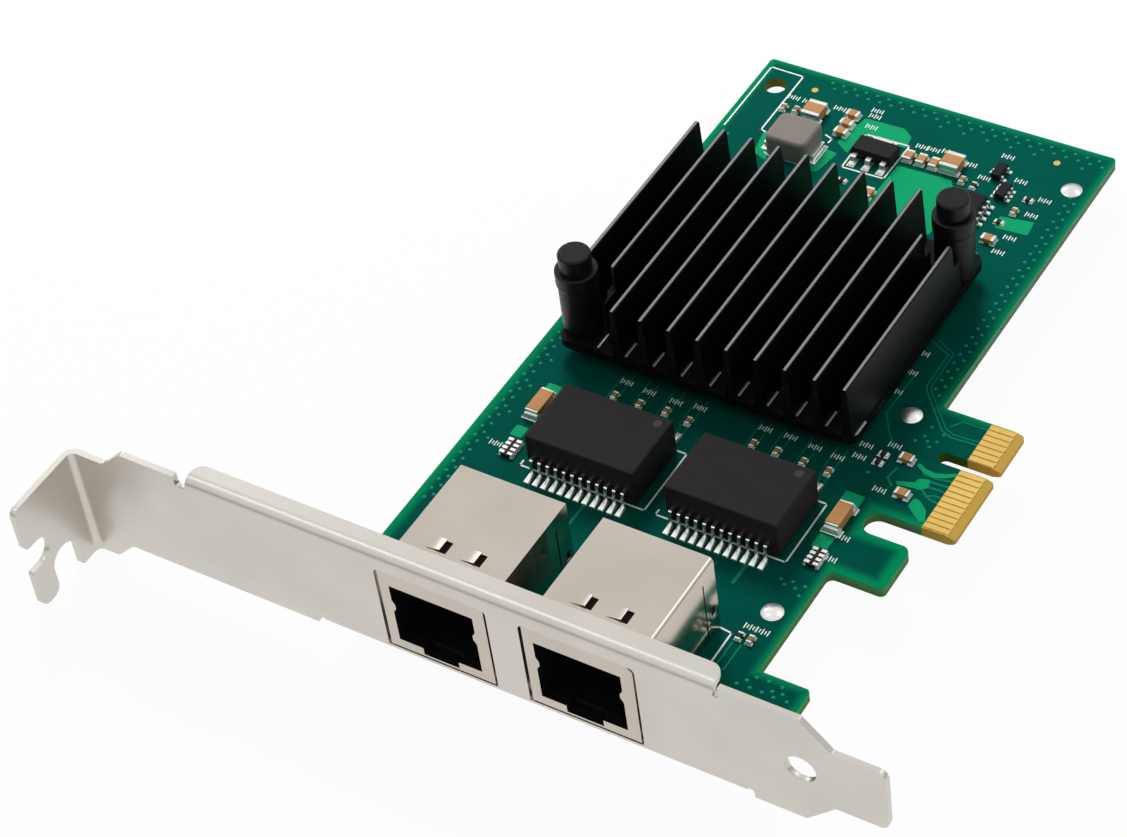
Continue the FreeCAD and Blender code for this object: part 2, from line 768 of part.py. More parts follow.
def make_sink():
    half_x, half_y = sink_width / 2, sink_length / 2
    base_top = sink_bottom_z + sink_base_thickness
    r = sink_corner_radius
    base = prism([(sink_x - half_x, sink_y - half_y, r), (sink_x + half_x, sink_y - half_y, r),
                  (sink_x + half_x, sink_y + half_y, r), (sink_x - half_x, sink_y + half_y, r)],
                 "xy", sink_bottom_z, sink_base_thickness)
    fins = []
    for i in range(fin_count):
        x = sink_x + (i - (fin_count - 1) / 2) * fin_pitch
        a, b, rounding = fin_root / 2, fin_tip / 2, fin_tip * 0.4
        fins.append(prism([(x - a, base_top), (x + a, base_top),
                           (x + b, sink_top_z, rounding), (x - b, sink_top_z, rounding)],
                          "xz", sink_y - half_y, sink_length))
    sink = joined([base] + fins)
    cuts = []
    ledge_z = sink_top_z - pin_pocket_ledge
    for (x, y), outwards in zip(pin_positions(), (-1, 1)):
        end = sink_y + outwards * (half_y + 1)
        cuts.append(rod(x, y, ledge_z, sink_top_z + 1, pin_pocket_radius))
        cuts.append(rod(x, y, base_top, sink_top_z, pin_pocket_foot_radius))
        cuts.append(box(x - pin_pocket_opening, x + pin_pocket_opening, min(y, end), max(y, end),
                        base_top, sink_top_z + 1))
        cuts.append(rod(x, y, sink_bottom_z - 1, base_top + 1, pin_shank_radius + fit_clearance))
    return sink.cut(cuts)


save("heat_sink", make_sink())


# Push pins through the corners of the heat sink, each in a sleeve
pins = []
sleeves = []
for x, y in pin_positions():
    base_top = sink_bottom_z + sink_base_thickness
    cap_top = sleeve_top_z + pin_cap_height
    under = board_bottom_z
    pins.append(turned(x, y, [
        (0, cap_top), (pin_cap_radius - pin_cap_edge, cap_top), (pin_cap_radius, cap_top - pin_cap_edge),
        (pin_cap_radius, sleeve_top_z), (pin_shank_radius, sleeve_top_z), (pin_shank_radius, under),
        (barb_radius, under), (barb_radius, under - barb_shoulder), (barb_tip_radius, under - barb_length),
        (0, under - barb_length)]))
    bore = pin_shank_radius + fit_clearance
    ring_bottom = sleeve_top_z - sleeve_ring_height
    sleeves.append(turned(x, y, [
        (bore, base_top), (sleeve_radius, base_top), (sleeve_radius, ring_bottom),
        (sleeve_ring_radius, ring_bottom + 0.3), (sleeve_ring_radius, sleeve_top_z - 0.15),
        (sleeve_ring_radius - 0.15, sleeve_top_z), (bore, sleeve_top_z)]))
save("push_pins", pins)
save("pin_sleeves", sleeves)


# Power inductor with a terminal at each end
half_x, half_y = inductor_size_x / 2, inductor_size_y / 2
c = inductor_corner
core = prism([(inductor_x - half_x, inductor_y - half_y, c), (inductor_x + half_x, inductor_y - half_y, c),
              (inductor_x + half_x, inductor_y + half_y, c), (inductor_x - half_x, inductor_y + half_y, c)],
             "xy", 0, inductor_height)
save("inductor_body", core.makeChamfer(inductor_edge, top_edges(core, inductor_height)))
terminals = []
for side in (-1, 1):
    wall = inductor_x + side * half_x
    end = wall + side * inductor_terminal_reach
    low, high = min(wall, end), max(wall, end)
    terminals.append(box(low, high, inductor_y - inductor_terminal_width / 2,
                         inductor_y + inductor_terminal_width / 2, 0, inductor_terminal_height))
save("inductor_terminals", terminals)


def moulded(x, y, size_x, size_y, z1, z2, draft):
    """Chip body with sloping sides above and below its parting line."""
    middle = (z1 + z2) / 2

    def section(inset, z):
        a, b = size_x / 2 - inset, size_y / 2 - inset
        return Part.makePolygon([V(x - a, y - b, z), V(x + a, y - b, z), V(x + a, y + b, z),
                                 V(x - a, y + b, z), V(x - a, y - b, z)])

    lower = Part.makeLoft([section(draft, z1), section(0, middle)], True, True)
    upper = Part.makeLoft([section(0, middle), section(draft, z2)], True, True)
    return lower.fuse(upper)


def side_lead(wall, direction, y, width, thickness, reach, shoulder):
    """Gull wing lead that leaves a wall along X."""
    def x(distance):
        return wall + direction * distance

    bend = reach * 0.45
    points = [(x(0), shoulder + thickness / 2), (x(bend), shoulder + thickness / 2),
              (x(bend + thickness), thickness), (x(reach), thickness), (x(reach), 0), (x(bend), 0),
              (x(bend - thickness), shoulder - thickness / 2), (x(0), shoulder - thickness / 2)]
    return prism(points, "xz", y - width / 2, width)


# Voltage regulator
save("regulator_body", moulded(regulator_x, regulator_y, regulator_size_x, regulator_size_y,
                               regulator_bottom_z, regulator_top_z, regulator_draft))
shoulder = (regulator_bottom_z + regulator_top_z) / 2
leads = []
for i in range(3):
    x = regulator_x + (i - 1) * regulator_lead_pitch
    leads.append(gull_lead(x, regulator_y - regulator_size_y / 2, -1, regulator_lead_width,
                           regulator_lead_thickness, regulator_lead_reach,
                           shoulder + regulator_lead_thickness / 2, regulator_lead_reach * 0.55))
leads.append(gull_lead(regulator_x, regulator_y + regulator_size_y / 2, 1, regulator_tab_width,
                       regulator_lead_thickness, regulator_lead_reach,
                       shoulder + regulator_lead_thickness / 2, regulator_lead_reach * 0.55))
save("regulator_leads", leads)

# Memory chip
save("memory_chip_body", moulded(memory_x, memory_y, memory_size_x, memory_size_y,
                                 memory_bottom_z, memory_top_z, memory_draft))
shoulder = (memory_bottom_z + memory_top_z) / 2
leads = []
for i in range(memory_lead_count):
    y = memory_y + (i - (memory_lead_count - 1) / 2) * memory_lead_pitch
    for side in (-1, 1):
        leads.append(side_lead(memory_x + side * memory_size_x / 2, side, y, memory_lead_width,
                               memory_lead_thickness, memory_lead_reach, shoulder))
save("memory_chip_leads", leads)

# Small transistors
bodies = []
leads = []
shoulder = (transistor_bottom_z + transistor_top_z) / 2
for (x, y), (low_count, high_count) in zip(small_transistors, transistor_lead_counts):
    bodies.append(moulded(x, y, transistor_size_x, transistor_size_y, transistor_bottom_z,
                          transistor_top_z, transistor_draft))
    for side, count in ((-1, low_count), (1, high_count)):
        pitch = transistor_lead_pitch * (2 if count == 2 else 1)
        for i in range(count):
            lead_y = y + (i - (count - 1) / 2) * pitch
            leads.append(side_lead(x + side * transistor_size_x / 2, side, lead_y, transistor_lead_width,
                                   transistor_lead_thickness, transistor_lead_reach, shoulder))
save("transistor_bodies", bodies)
save("transistor_leads", leads)


# Chip capacitors and resistors: a body between two metal ends
def chip_parts(places, length, width, height, end):
    middles, ends = [], []
    for x, y, along in places:
        a, b = (length / 2, width / 2) if along == "x" else (width / 2, length / 2)
        if along == "x":
            middles.append(box(x - a + end, x + a - end, y - b, y + b, 0, height))
            ends.append(box(x - a, x - a + end, y - b, y + b, 0, height))
            ends.append(box(x + a - end, x + a, y - b, y + b, 0, height))
        else:
            middles.append(box(x - a, x + a, y - b + end, y + b - end, 0, height))
            ends.append(box(x - a, x + a, y - b, y - b + end, 0, height))
            ends.append(box(x - a, x + a, y + b - end, y + b, 0, height))
    return middles, ends


for name, places, length, width, height, end in (
        ("large_capacitor", large_capacitors, large_length, large_width, large_height, large_end),
        ("long_capacitor", long_capacitors, long_length, long_width, long_height, long_end),
        ("medium_capacitor", medium_capacitors, medium_length, medium_width, medium_height, medium_end),
        ("small_capacitor", small_capacitors, small_length, small_width, small_height, small_end),
        ("resistor", small_resistors, small_length, small_width, resistor_height, small_end)):
    middles, ends = chip_parts(places, length, width, height, end)
    save(name + "_bodies", middles)
    save(name + "_ends", ends)

# Resistor arrays
bodies = []
terminals = []
for x, y in resistor_arrays:
    bodies.append(box(x - array_size_x / 2, x + array_size_x / 2, y - array_size_y / 2,
                      y + array_size_y / 2, 0, array_height))
    for i in range(array_terminal_count):
        centre = y + (i - (array_terminal_count - 1) / 2) * array_terminal_pitch
        for side in (-1, 1):
            wall = x + side * array_size_x / 2
            end = wall + side * array_terminal_reach
            terminals.append(box(min(wall, end), max(wall, end), centre - array_terminal_width / 2,
                                 centre + array_terminal_width / 2, 0, array_height))
save("resistor_array_bodies", bodies)
save("resistor_array_terminals", terminals)

# Solder domes
domes = []
ball = (dome_radius ** 2 + dome_height ** 2) / (2 * dome_height)
for x, y in solder_domes:
    sphere = Part.makeSphere(ball, V(x, y, dome_height - ball))
    reach = dome_radius + cut_margin
    domes.append(sphere.common(box(x - reach, x + reach, y - reach, y + reach, 0, dome_height + cut_margin)))
save("solder_domes", domes)
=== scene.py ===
# %% [markdown]
# # A network interface card, dressed in Blender
#
# The card is a green circuit board that plugs into a slot of a computer by its gold
# contacts. A folded steel bracket holds it at the back of the case, and two sockets for
# network cables look out through windows in that bracket. The solids come from CAD and
# are the fixed frame here: this lesson gives each of them its finish, rounds the edges
# that catch light, and adds the small things that solids leave out, such as solder,
# white lines, copper tracks and rows of plated holes.

# %% Load the fixed frame
import bpy
import bmesh
import math
import random
from mathutils import Matrix, Vector


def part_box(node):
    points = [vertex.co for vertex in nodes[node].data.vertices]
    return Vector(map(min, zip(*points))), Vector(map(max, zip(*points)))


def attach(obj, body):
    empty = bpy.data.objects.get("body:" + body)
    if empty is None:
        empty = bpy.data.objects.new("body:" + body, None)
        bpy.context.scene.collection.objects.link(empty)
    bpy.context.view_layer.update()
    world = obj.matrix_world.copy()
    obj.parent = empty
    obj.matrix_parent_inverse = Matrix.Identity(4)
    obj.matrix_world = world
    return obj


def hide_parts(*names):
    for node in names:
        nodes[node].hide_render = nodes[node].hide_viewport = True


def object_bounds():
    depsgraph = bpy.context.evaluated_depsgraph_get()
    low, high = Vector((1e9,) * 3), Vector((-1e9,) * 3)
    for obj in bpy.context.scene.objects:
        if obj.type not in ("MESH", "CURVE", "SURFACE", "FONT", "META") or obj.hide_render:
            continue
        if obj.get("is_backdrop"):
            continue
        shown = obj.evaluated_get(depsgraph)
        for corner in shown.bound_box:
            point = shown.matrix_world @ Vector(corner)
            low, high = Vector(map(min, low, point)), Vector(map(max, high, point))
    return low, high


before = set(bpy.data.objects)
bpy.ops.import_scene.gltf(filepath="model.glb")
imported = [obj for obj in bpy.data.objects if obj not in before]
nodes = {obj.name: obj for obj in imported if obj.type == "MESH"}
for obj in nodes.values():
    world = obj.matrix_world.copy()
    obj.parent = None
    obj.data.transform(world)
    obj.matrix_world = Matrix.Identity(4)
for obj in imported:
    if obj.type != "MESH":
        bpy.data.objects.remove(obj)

MM = 0.001
cad_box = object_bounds()
scene = bpy.context.scene
print("nodes", len(nodes), "box", cad_box)

# %% [markdown]
# ## The camera first
#
# The picture is matched by one camera, so it is settled before any finish. Its place and
# tilt were solved from the bracket's and the connector's standard sizes. Three unit
# vectors say where its right, its up and its back point. Cross products tidy them, so
# that they stand square to each other, and together they are the camera's matrix.

# %% Camera
CAMERA_PLACE = (0.13540, -0.26363, 0.31371)
CAMERA_RIGHT = (0.849, 0.5167, -0.1105)
CAMERA_BACK = (0.4327, -0.5599, 0.7066)

right = Vector(CAMERA_RIGHT).normalized()
back = Vector(CAMERA_BACK).normalized()
up = back.cross(right).normalized()
right = up.cross(back)
camera_data = bpy.data.cameras.new("camera")
camera_data.sensor_fit = "HORIZONTAL"
camera_data.sensor_width = 36.0
camera_data.lens = 106.04
camera_data.clip_start = 0.01
camera_data.clip_end = 20.0
camera = bpy.data.objects.new("camera", camera_data)
tilt = Matrix((right, up, back)).transposed().to_4x4()
camera.matrix_world = Matrix.Translation(CAMERA_PLACE) @ tilt
scene.collection.objects.link(camera)
scene.camera = camera
scene.view_settings.view_transform = "Standard"
print("camera", [round(v, 4) for v in camera.matrix_world.translation])

# %% [markdown]
# ## Sums for shaders
#
# A pattern in a shader is arithmetic on coordinates. Linking Math nodes by hand hides
# that arithmetic, so one small class wraps a socket and lets Python's own signs add the
# nodes. A second class holds a tree of nodes and has one method that makes any other
# node, and a third is such a tree for a material. A material's coordinates are turned to
# millimetres once, so that every scale below is a number of waves or grains to the
# millimetre.

# %% A socket that takes part in sums
class Flow:
    def __init__(self, graph, socket):
        self.graph = graph
        self.socket = socket

    def math(self, operation, *others):
        return self.graph.math(operation, self, *others)

    def __add__(self, other): return self.math("ADD", other)
    def __radd__(self, other): return self.math("ADD", other)
    def __sub__(self, other): return self.math("SUBTRACT", other)
    def __rsub__(self, other): return self.graph.math("SUBTRACT", other, self)
    def __mul__(self, other): return self.math("MULTIPLY", other)
    def __abs__(self): return self.math("ABSOLUTE")
    def least(self, other): return self.math("MINIMUM", other)
    def most(self, other): return self.math("MAXIMUM", other)

    def above(self, level, soft):
        """Nought below a level and one above it, with a soft step between."""
        return self.graph.node("ShaderNodeMapRange", {"interpolation_type": "SMOOTHSTEP"}, {
            "Value": self, "From Min": level - soft, "From Max": level + soft})

    def near(self, place, reach, soft):
        """One within reach of a place and nought beyond it, with a soft step between."""
        return 1.0 - abs(self - place).above(reach, soft)


# %% A tree that makes its own nodes
class Graph:
    def __init__(self, tree, end):
        self.tree = tree
        tree.nodes.clear()
        self.end = tree.nodes.new(end)

    def node(self, kind, settings, inputs, output=0):
        made = self.tree.nodes.new(kind)
        for key, value in settings.items():
            setattr(made, key, value)
        for key, value in inputs.items():
            socket = made.inputs[key]
            if isinstance(value, Flow):
                self.tree.links.new(value.socket, socket)
            elif socket.type == "RGBA":
                socket.default_value = (*value, 1.0)
            else:
                socket.default_value = value
        return Flow(self, made.outputs[output])

    def outputs(self, kind, inputs, names):
        """One node, and a flow from each of its outputs that are named."""
        made = self.node(kind, {}, inputs).socket.node
        return [Flow(self, made.outputs[name]) for name in names]

    def math(self, operation, *values):
        return self.node("ShaderNodeMath", {"operation": operation}, dict(enumerate(values)))

    def rays(self):
        """One for a ray from the eye, a mirror or glass, and one for a mirror's alone."""
        eye, mirror, glass = self.outputs("ShaderNodeLightPath", {}, (
            "Is Camera Ray", "Is Glossy Ray", "Is Transmission Ray"))
        return (eye + mirror + glass).least(1.0), mirror

    def finish_with(self, shader):
        self.tree.links.new(shader.socket, self.end.inputs["Surface"])


# %% A material, with its place in millimetres
MIX_FACTOR, MIX_FIRST, MIX_SECOND, MIX_RESULT = 0, 6, 7, 2


class Finish(Graph):
    def __init__(self, name):
        self.material = bpy.data.materials.new(name)
        self.material.use_nodes = True
        super().__init__(self.material.node_tree, "ShaderNodeOutputMaterial")
        metres = self.node("ShaderNodeTexCoord", {}, {}, "Object")
        self.place = self.node("ShaderNodeVectorMath", {"operation": "SCALE"}, {
            0: metres, "Scale": 1000.0})

    def axes(self):
        return self.outputs("ShaderNodeSeparateXYZ", {0: self.place}, ("X", "Y", "Z"))

    def blend(self, mask, first, second):
        return self.node("ShaderNodeMix", {"data_type": "RGBA"}, {
            MIX_FACTOR: mask, MIX_FIRST: first, MIX_SECOND: second}, MIX_RESULT)

    def grain(self, scale, detail=2.0, roughness=0.5, stretch=None):
        where = self.place
        if stretch:
            where = self.node("ShaderNodeVectorMath", {"operation": "MULTIPLY"}, {
                0: where, 1: stretch})
        return self.node("ShaderNodeTexNoise", {}, {
            "Vector": where, "Scale": scale, "Detail": detail, "Roughness": roughness}, "Fac")

    def weave(self, direction):
        return self.node("ShaderNodeTexWave", {"bands_direction": direction}, {
            "Vector": self.place, "Scale": 0.5, "Distortion": 1.5}, "Fac")

    def raised(self, height, depth, strength):
        return self.node("ShaderNodeBump", {}, {
            "Strength": strength, "Distance": depth, "Height": height})

    def surface(self, **sockets):
        inputs = {key.replace("_", " "): value for key, value in sockets.items()}
        self.finish_with(self.node("ShaderNodeBsdfPrincipled", {}, inputs))
        return self.material


def around(tone, drift):
    """A tone a little darker and the same tone a little lighter."""
    return (tuple(c * (1 - drift) for c in tone),
            tuple(min(1.0, c * (1 + drift)) for c in tone))


print("shader helpers ready")

# %% [markdown]
# ## Studio
#
# The card lies on a white table under an even white sky. Two big soft lamps light its
# matt parts and stay out of the mirrors, because a large flat of metal would go white.
# Three small ones are seen by the metal: they draw the bright line along the bracket's
# fold, lift the small tabs on the sockets and mark the shields' right edges. For mirrors
# alone the sky darkens towards the horizon, as the walls of a room do, and that gives the
# folds their thin dark line. Eyes and mirrors see the sky at a strength of one, which is
# white, while matt surfaces get less from it, so that lamps and sky together light them
# at about their own colour. The table glows white to the eye in the same way, and keeps
# a small share of its matt self, which is where the card's shadow shows.

# %% Sky
SKY_ON_MATT = 0.31
SKY_AT_HORIZON = 0.38
HORIZON_RISE, HORIZON_SOFT = 0.275, 0.175

world = bpy.data.worlds.new("studio_sky")
world.use_nodes = True
scene.world = world
sky = Graph(world.node_tree, "ShaderNodeOutputWorld")
seen, mirrored = sky.rays()
way = sky.node("ShaderNodeTexCoord", {}, {}, "Generated")
height = abs(sky.outputs("ShaderNodeSeparateXYZ", {0: way}, ("Z",))[0])
walls = height.above(HORIZON_RISE, HORIZON_SOFT) * (1.0 - SKY_AT_HORIZON) + SKY_AT_HORIZON
sky_level = seen * (1.0 - SKY_ON_MATT) + SKY_ON_MATT
sky.finish_with(sky.node("ShaderNodeBackground", {}, {
    "Color": (1.0, 1.0, 1.0), "Strength": sky_level * (1.0 + mirrored * (walls - 1.0))}))
print("sky made")


# %% Lamps
def soft_lamp(name, place, target, width, length, watts, in_mirrors):
    lamp_data = bpy.data.lights.new(name, "AREA")
    lamp_data.shape = "ELLIPSE"
    lamp_data.size = width
    lamp_data.size_y = length
    lamp_data.energy = watts
    lamp = bpy.data.objects.new(name, lamp_data)
    lamp.location = place
    away = Vector(place) - Vector(target)
    lamp.rotation_euler = away.to_track_quat("Z", "Y").to_euler()
    lamp.visible_glossy = in_mirrors
    scene.collection.objects.link(lamp)


CARD_MIDDLE = (-0.04, 0.0, 0.0)
FOLD_MIDDLE = (-0.042, -0.058, 0.012)
lamps = (
    ("lamp_above", (-0.38, 0.50, 0.52), CARD_MIDDLE, 0.3, 0.3, 5.2, False),
    ("lamp_right", (0.62, 0.15, 0.38), CARD_MIDDLE, 0.4, 0.4, 0.7, False),
    ("lamp_for_fold", (-0.35, -0.13, 0.61), FOLD_MIDDLE, 0.07, 0.36, 0.16, True),
    ("lamp_for_tabs", (-0.505, 0.308, 0.283), (-0.05, -0.05, 0.01), 0.3, 0.3, 0.34, True),
    ("lamp_for_side", (0.23, 0.34, 0.52), (-0.03, -0.04, 0.01), 0.26, 0.26, 0.22, True))
for lamp_row in lamps:
    soft_lamp(*lamp_row)
print("lamps", len(lamps))


# %% Floor
def linked(bm, name, material):
    mesh = bpy.data.meshes.new(name)
    bm.to_mesh(mesh)
    bm.free()
    mesh.materials.append(material)
    piece = bpy.data.objects.new(name, mesh)
    scene.collection.objects.link(piece)
    return piece


FLOOR_HALF_SIZE = 3.0
FLOOR_GAP = 0.05 * MM
FLOOR_GLOW = 0.955

table = Finish("white_table")
table_tone = table.blend(table.grain(0.02, 1.0), (0.86, 0.86, 0.86), (0.88, 0.88, 0.88))
matt = table.node("ShaderNodeBsdfDiffuse", {}, {"Color": table_tone})
glow = table.node("ShaderNodeEmission", {}, {"Color": (1.0, 1.0, 1.0), "Strength": 1.0})
table.finish_with(table.node("ShaderNodeMixShader", {}, {
    0: table.rays()[0] * FLOOR_GLOW, 1: matt, 2: glow}))
floor_bm = bmesh.new()
bmesh.ops.create_grid(floor_bm, x_segments=1, y_segments=1, size=FLOOR_HALF_SIZE,
                      matrix=Matrix.Translation((0, 0, cad_box[0][2] - FLOOR_GAP)))
floor = linked(floor_bm, "table_top", table.material)
floor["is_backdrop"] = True
print("floor at", cad_box[0][2])

# %% [markdown]
# ## Bright metals
#
# The bracket is nickel plated steel: a warm light grey with a satin skin that blurs what
# it mirrors. The shields of the sockets are the same metal, thinner and smoother, so
# their sides mirror the green board. Solder and tinned legs are whiter still. All are the
# same recipe with other numbers: a tone that drifts a little, a roughness that drifts
# with it, and a very fine grain in the bump. Thin folded walls are never quite upright, so
# the recipe can also lean them: the bump's height falls as z rises, which tilts upright
# faces towards the sky and leaves level ones alone.

# %% Metal recipe
def bright_metal(name, tone, roughness, drift, grain_scale,
                 grain_height=0.002, metallic=1.0, lean=0.0):
    finish = Finish(name)
    broad = finish.grain(0.09, 3.0)
    fine = finish.grain(grain_scale, 2.0, 0.6)
    height = fine * grain_height - finish.axes()[2] * lean
    return finish.surface(Base_Color=finish.blend(broad.above(0.5, 0.2), *around(tone, drift)),
                          Metallic=metallic,
                          Roughness=roughness - 0.04 + broad * 0.05 + fine * 0.06,
                          Normal=finish.raised(height, MM, 1.0))


bracket_steel = bright_metal("bracket_steel", (0.615, 0.585, 0.535), 0.3, 0.035, 2.2, 0.003)
shield_steel = bright_metal("shield_steel", (0.55, 0.495, 0.435), 0.13, 0.04, 1.2, 0.001,
                            lean=0.13)
screw_steel = bright_metal("screw_steel", (0.66, 0.65, 0.62), 0.28, 0.05, 4.0)
tinned_lead = bright_metal("tinned_lead", (0.80, 0.80, 0.78), 0.28, 0.06, 5.0, metallic=0.85)
leg_metal = bright_metal("leg_metal", (0.80, 0.80, 0.78), 0.22, 0.06, 5.0)
dome_metal = bright_metal("dome_metal", (0.80, 0.79, 0.78), 0.32, 0.12, 1.4, 0.02, 0.9)
solder_metal = bright_metal("solder", (0.95, 0.95, 0.94), 0.42, 0.03, 2.5, 0.005, 0.9)
contact_gold = bright_metal("contact_gold", (0.83, 0.56, 0.155), 0.32, 0.06, 4.0)
print("metals", 8)

# %% [markdown]
# ## Mouldings and anodised metal
#
# Sockets, chips and pins are black mouldings. Black isn't zero: it is a very dark grey
# with a dull skin, and how dull tells one part from another. The same recipe serves the
# grey pressed core of the inductor and the tan ceramic of the capacitors. The heat sink
# is aluminium dyed black, with faint streaks along its fins, a painted highlight along
# each fin's top and a painted glint at each fin's foot near the front.

# %% Moulding recipe
def moulding(name, tone, roughness, specular, drift=0.25, grain_scale=6.0, grain_depth=0.01):
    finish = Finish(name)
    broad = finish.grain(0.3, 3.0)
    fine = finish.grain(grain_scale, 3.0, 0.6)
    colour = finish.blend(broad * 0.5 + fine * 0.5, *around(tone, drift))
    return finish.surface(Base_Color=colour, Roughness=roughness - 0.05 + fine * 0.1,
                          Specular_IOR_Level=specular,
                          Normal=finish.raised(fine, grain_depth * MM, 0.6))


socket_plastic = moulding("socket_plastic", (0.007, 0.007, 0.0077), 0.5, 0.1)
module_plastic = moulding("module_plastic", (0.0205, 0.0187, 0.0198), 0.55, 0.08, 0.2, 5.0,
                          0.015)
chip_plastic = moulding("chip_plastic", (0.0145, 0.0145, 0.016), 0.5, 0.12)
pad_rubber = moulding("pad_rubber", (0.40, 0.40, 0.41), 0.8, 0.2)
pin_plastic = moulding("pin_plastic", (0.0055, 0.0055, 0.006), 0.38, 0.2, 0.2, 3.0, 0.006)
inductor_core = moulding("inductor_core", (0.245, 0.22, 0.197), 0.62, 0.2, 0.16, 5.0, 0.02)
dimple_plastic = moulding("dimple_plastic", (0.045, 0.042, 0.045), 0.4, 0.12)
resistor_film = moulding("resistor_film", (0.017, 0.017, 0.017), 0.45, 0.2)
capacitor_ceramic = moulding("capacitor_ceramic", (0.52, 0.255, 0.10), 0.45, 0.25, 0.14)
# painted shade: the small capacitors are a darker, more olive copy of the capacitor ceramic,
# partly standing in for the heat sink's shadow
small_ceramic_and_shade = moulding("small_ceramic_and_shade", (0.27, 0.195, 0.075), 0.5, 0.2, 0.2)
print("mouldings", 10)


# %% Anodised fins: a painted highlight along each tip, a painted glint at each foot near the front
FIN_TIP_Z = 11.984
FIN_PITCH = 4.36
FOOT_X, FOOT_Y, FOOT_Z = -61.8, -2.7, 3.42
FIRST_FOOT_X = -59.5


def anodised(name):
    finish = Finish(name)
    x, y, z = finish.axes()
    fine = finish.grain(3.0, 3.0, 0.6)
    streak = finish.grain(1.0, 2.0, 0.5, (4.0, 0.15, 4.0))
    # painted highlight: the tops of the fins, above FIN_TIP_Z, are a pale grey line
    tip = z.above(FIN_TIP_Z, 0.014)
    # painted glint: a pale strip at each fin's foot near the front, one per fin pitch
    across = (x - FOOT_X).math("WRAP", FIN_PITCH / 2, -FIN_PITCH / 2)
    foot = across.near(0.0, 0.13, 0.05) * z.near(FOOT_Z, 0.16, 0.05)
    foot = foot * y.near(FOOT_Y, 1.45, 0.12) * x.above(FIRST_FOOT_X, 0.1)
    black = finish.blend(streak, (0.002, 0.002, 0.0023), (0.004, 0.004, 0.0043))
    # the painted highlight on the fin tops, then the painted glint at their feet, over the
    # black
    colour = finish.blend(tip * (0.75 + fine * 0.25), black, (0.30, 0.30, 0.31))
    colour = finish.blend(foot, colour, (0.85, 0.83, 0.80))
    return finish.surface(Base_Color=colour, Roughness=0.34 + fine * 0.08 + streak * 0.05,
                          Specular_IOR_Level=0.1, Normal=finish.raised(fine, 0.008 * MM, 0.6))


sink_aluminium = anodised("sink_aluminium")
print("anodised finish made")

# %% [markdown]
# ## The board's green skin
#
# A circuit board is glass cloth in resin, with copper on it, and a green varnish over
# all. Where copper lies under the varnish the green is deep; along the rims there is
# none, so light goes into the laminate and the green is brighter. The rims are drawn by
# sums: a rectangle is the lesser of two distances, and the copper's area is the largest
# of four rectangles. On the cut edges the bare laminate shows, a light green above and a
# duller green below, with a painted highlight as a brighter line right under the varnish,
# so the height picks the colour there. It is olive in the corner hole, and painted shade
# makes it deep in the key slot. At the tip, where the contacts are, the varnish ends and
# the laminate is tan.

# %% Board finish
COPPER_RECTANGLES = (
    (-66.1, -12.7, -53.4, 61.5), (-20.0, -5.5, -53.4, -43.0),
    (-20.0, -5.9, -22.3, -17.4), (-20.0, -3.5, -10.9, 7.2))
EDGE_TOP_Z, EDGE_FOOT_Z = -0.05, -1.52
RIM_Z, STRIPE_Z = -0.30, -0.85
CONTACTS_X, CONTACTS_Y, TIP_X = -4.74, -14.0, -1.3
SLOT_X, SLOT_REACH = -9.6, 1.2
HOLE_X, HOLE_Y, HOLE_REACH = -63.9, 57.05, 2.2


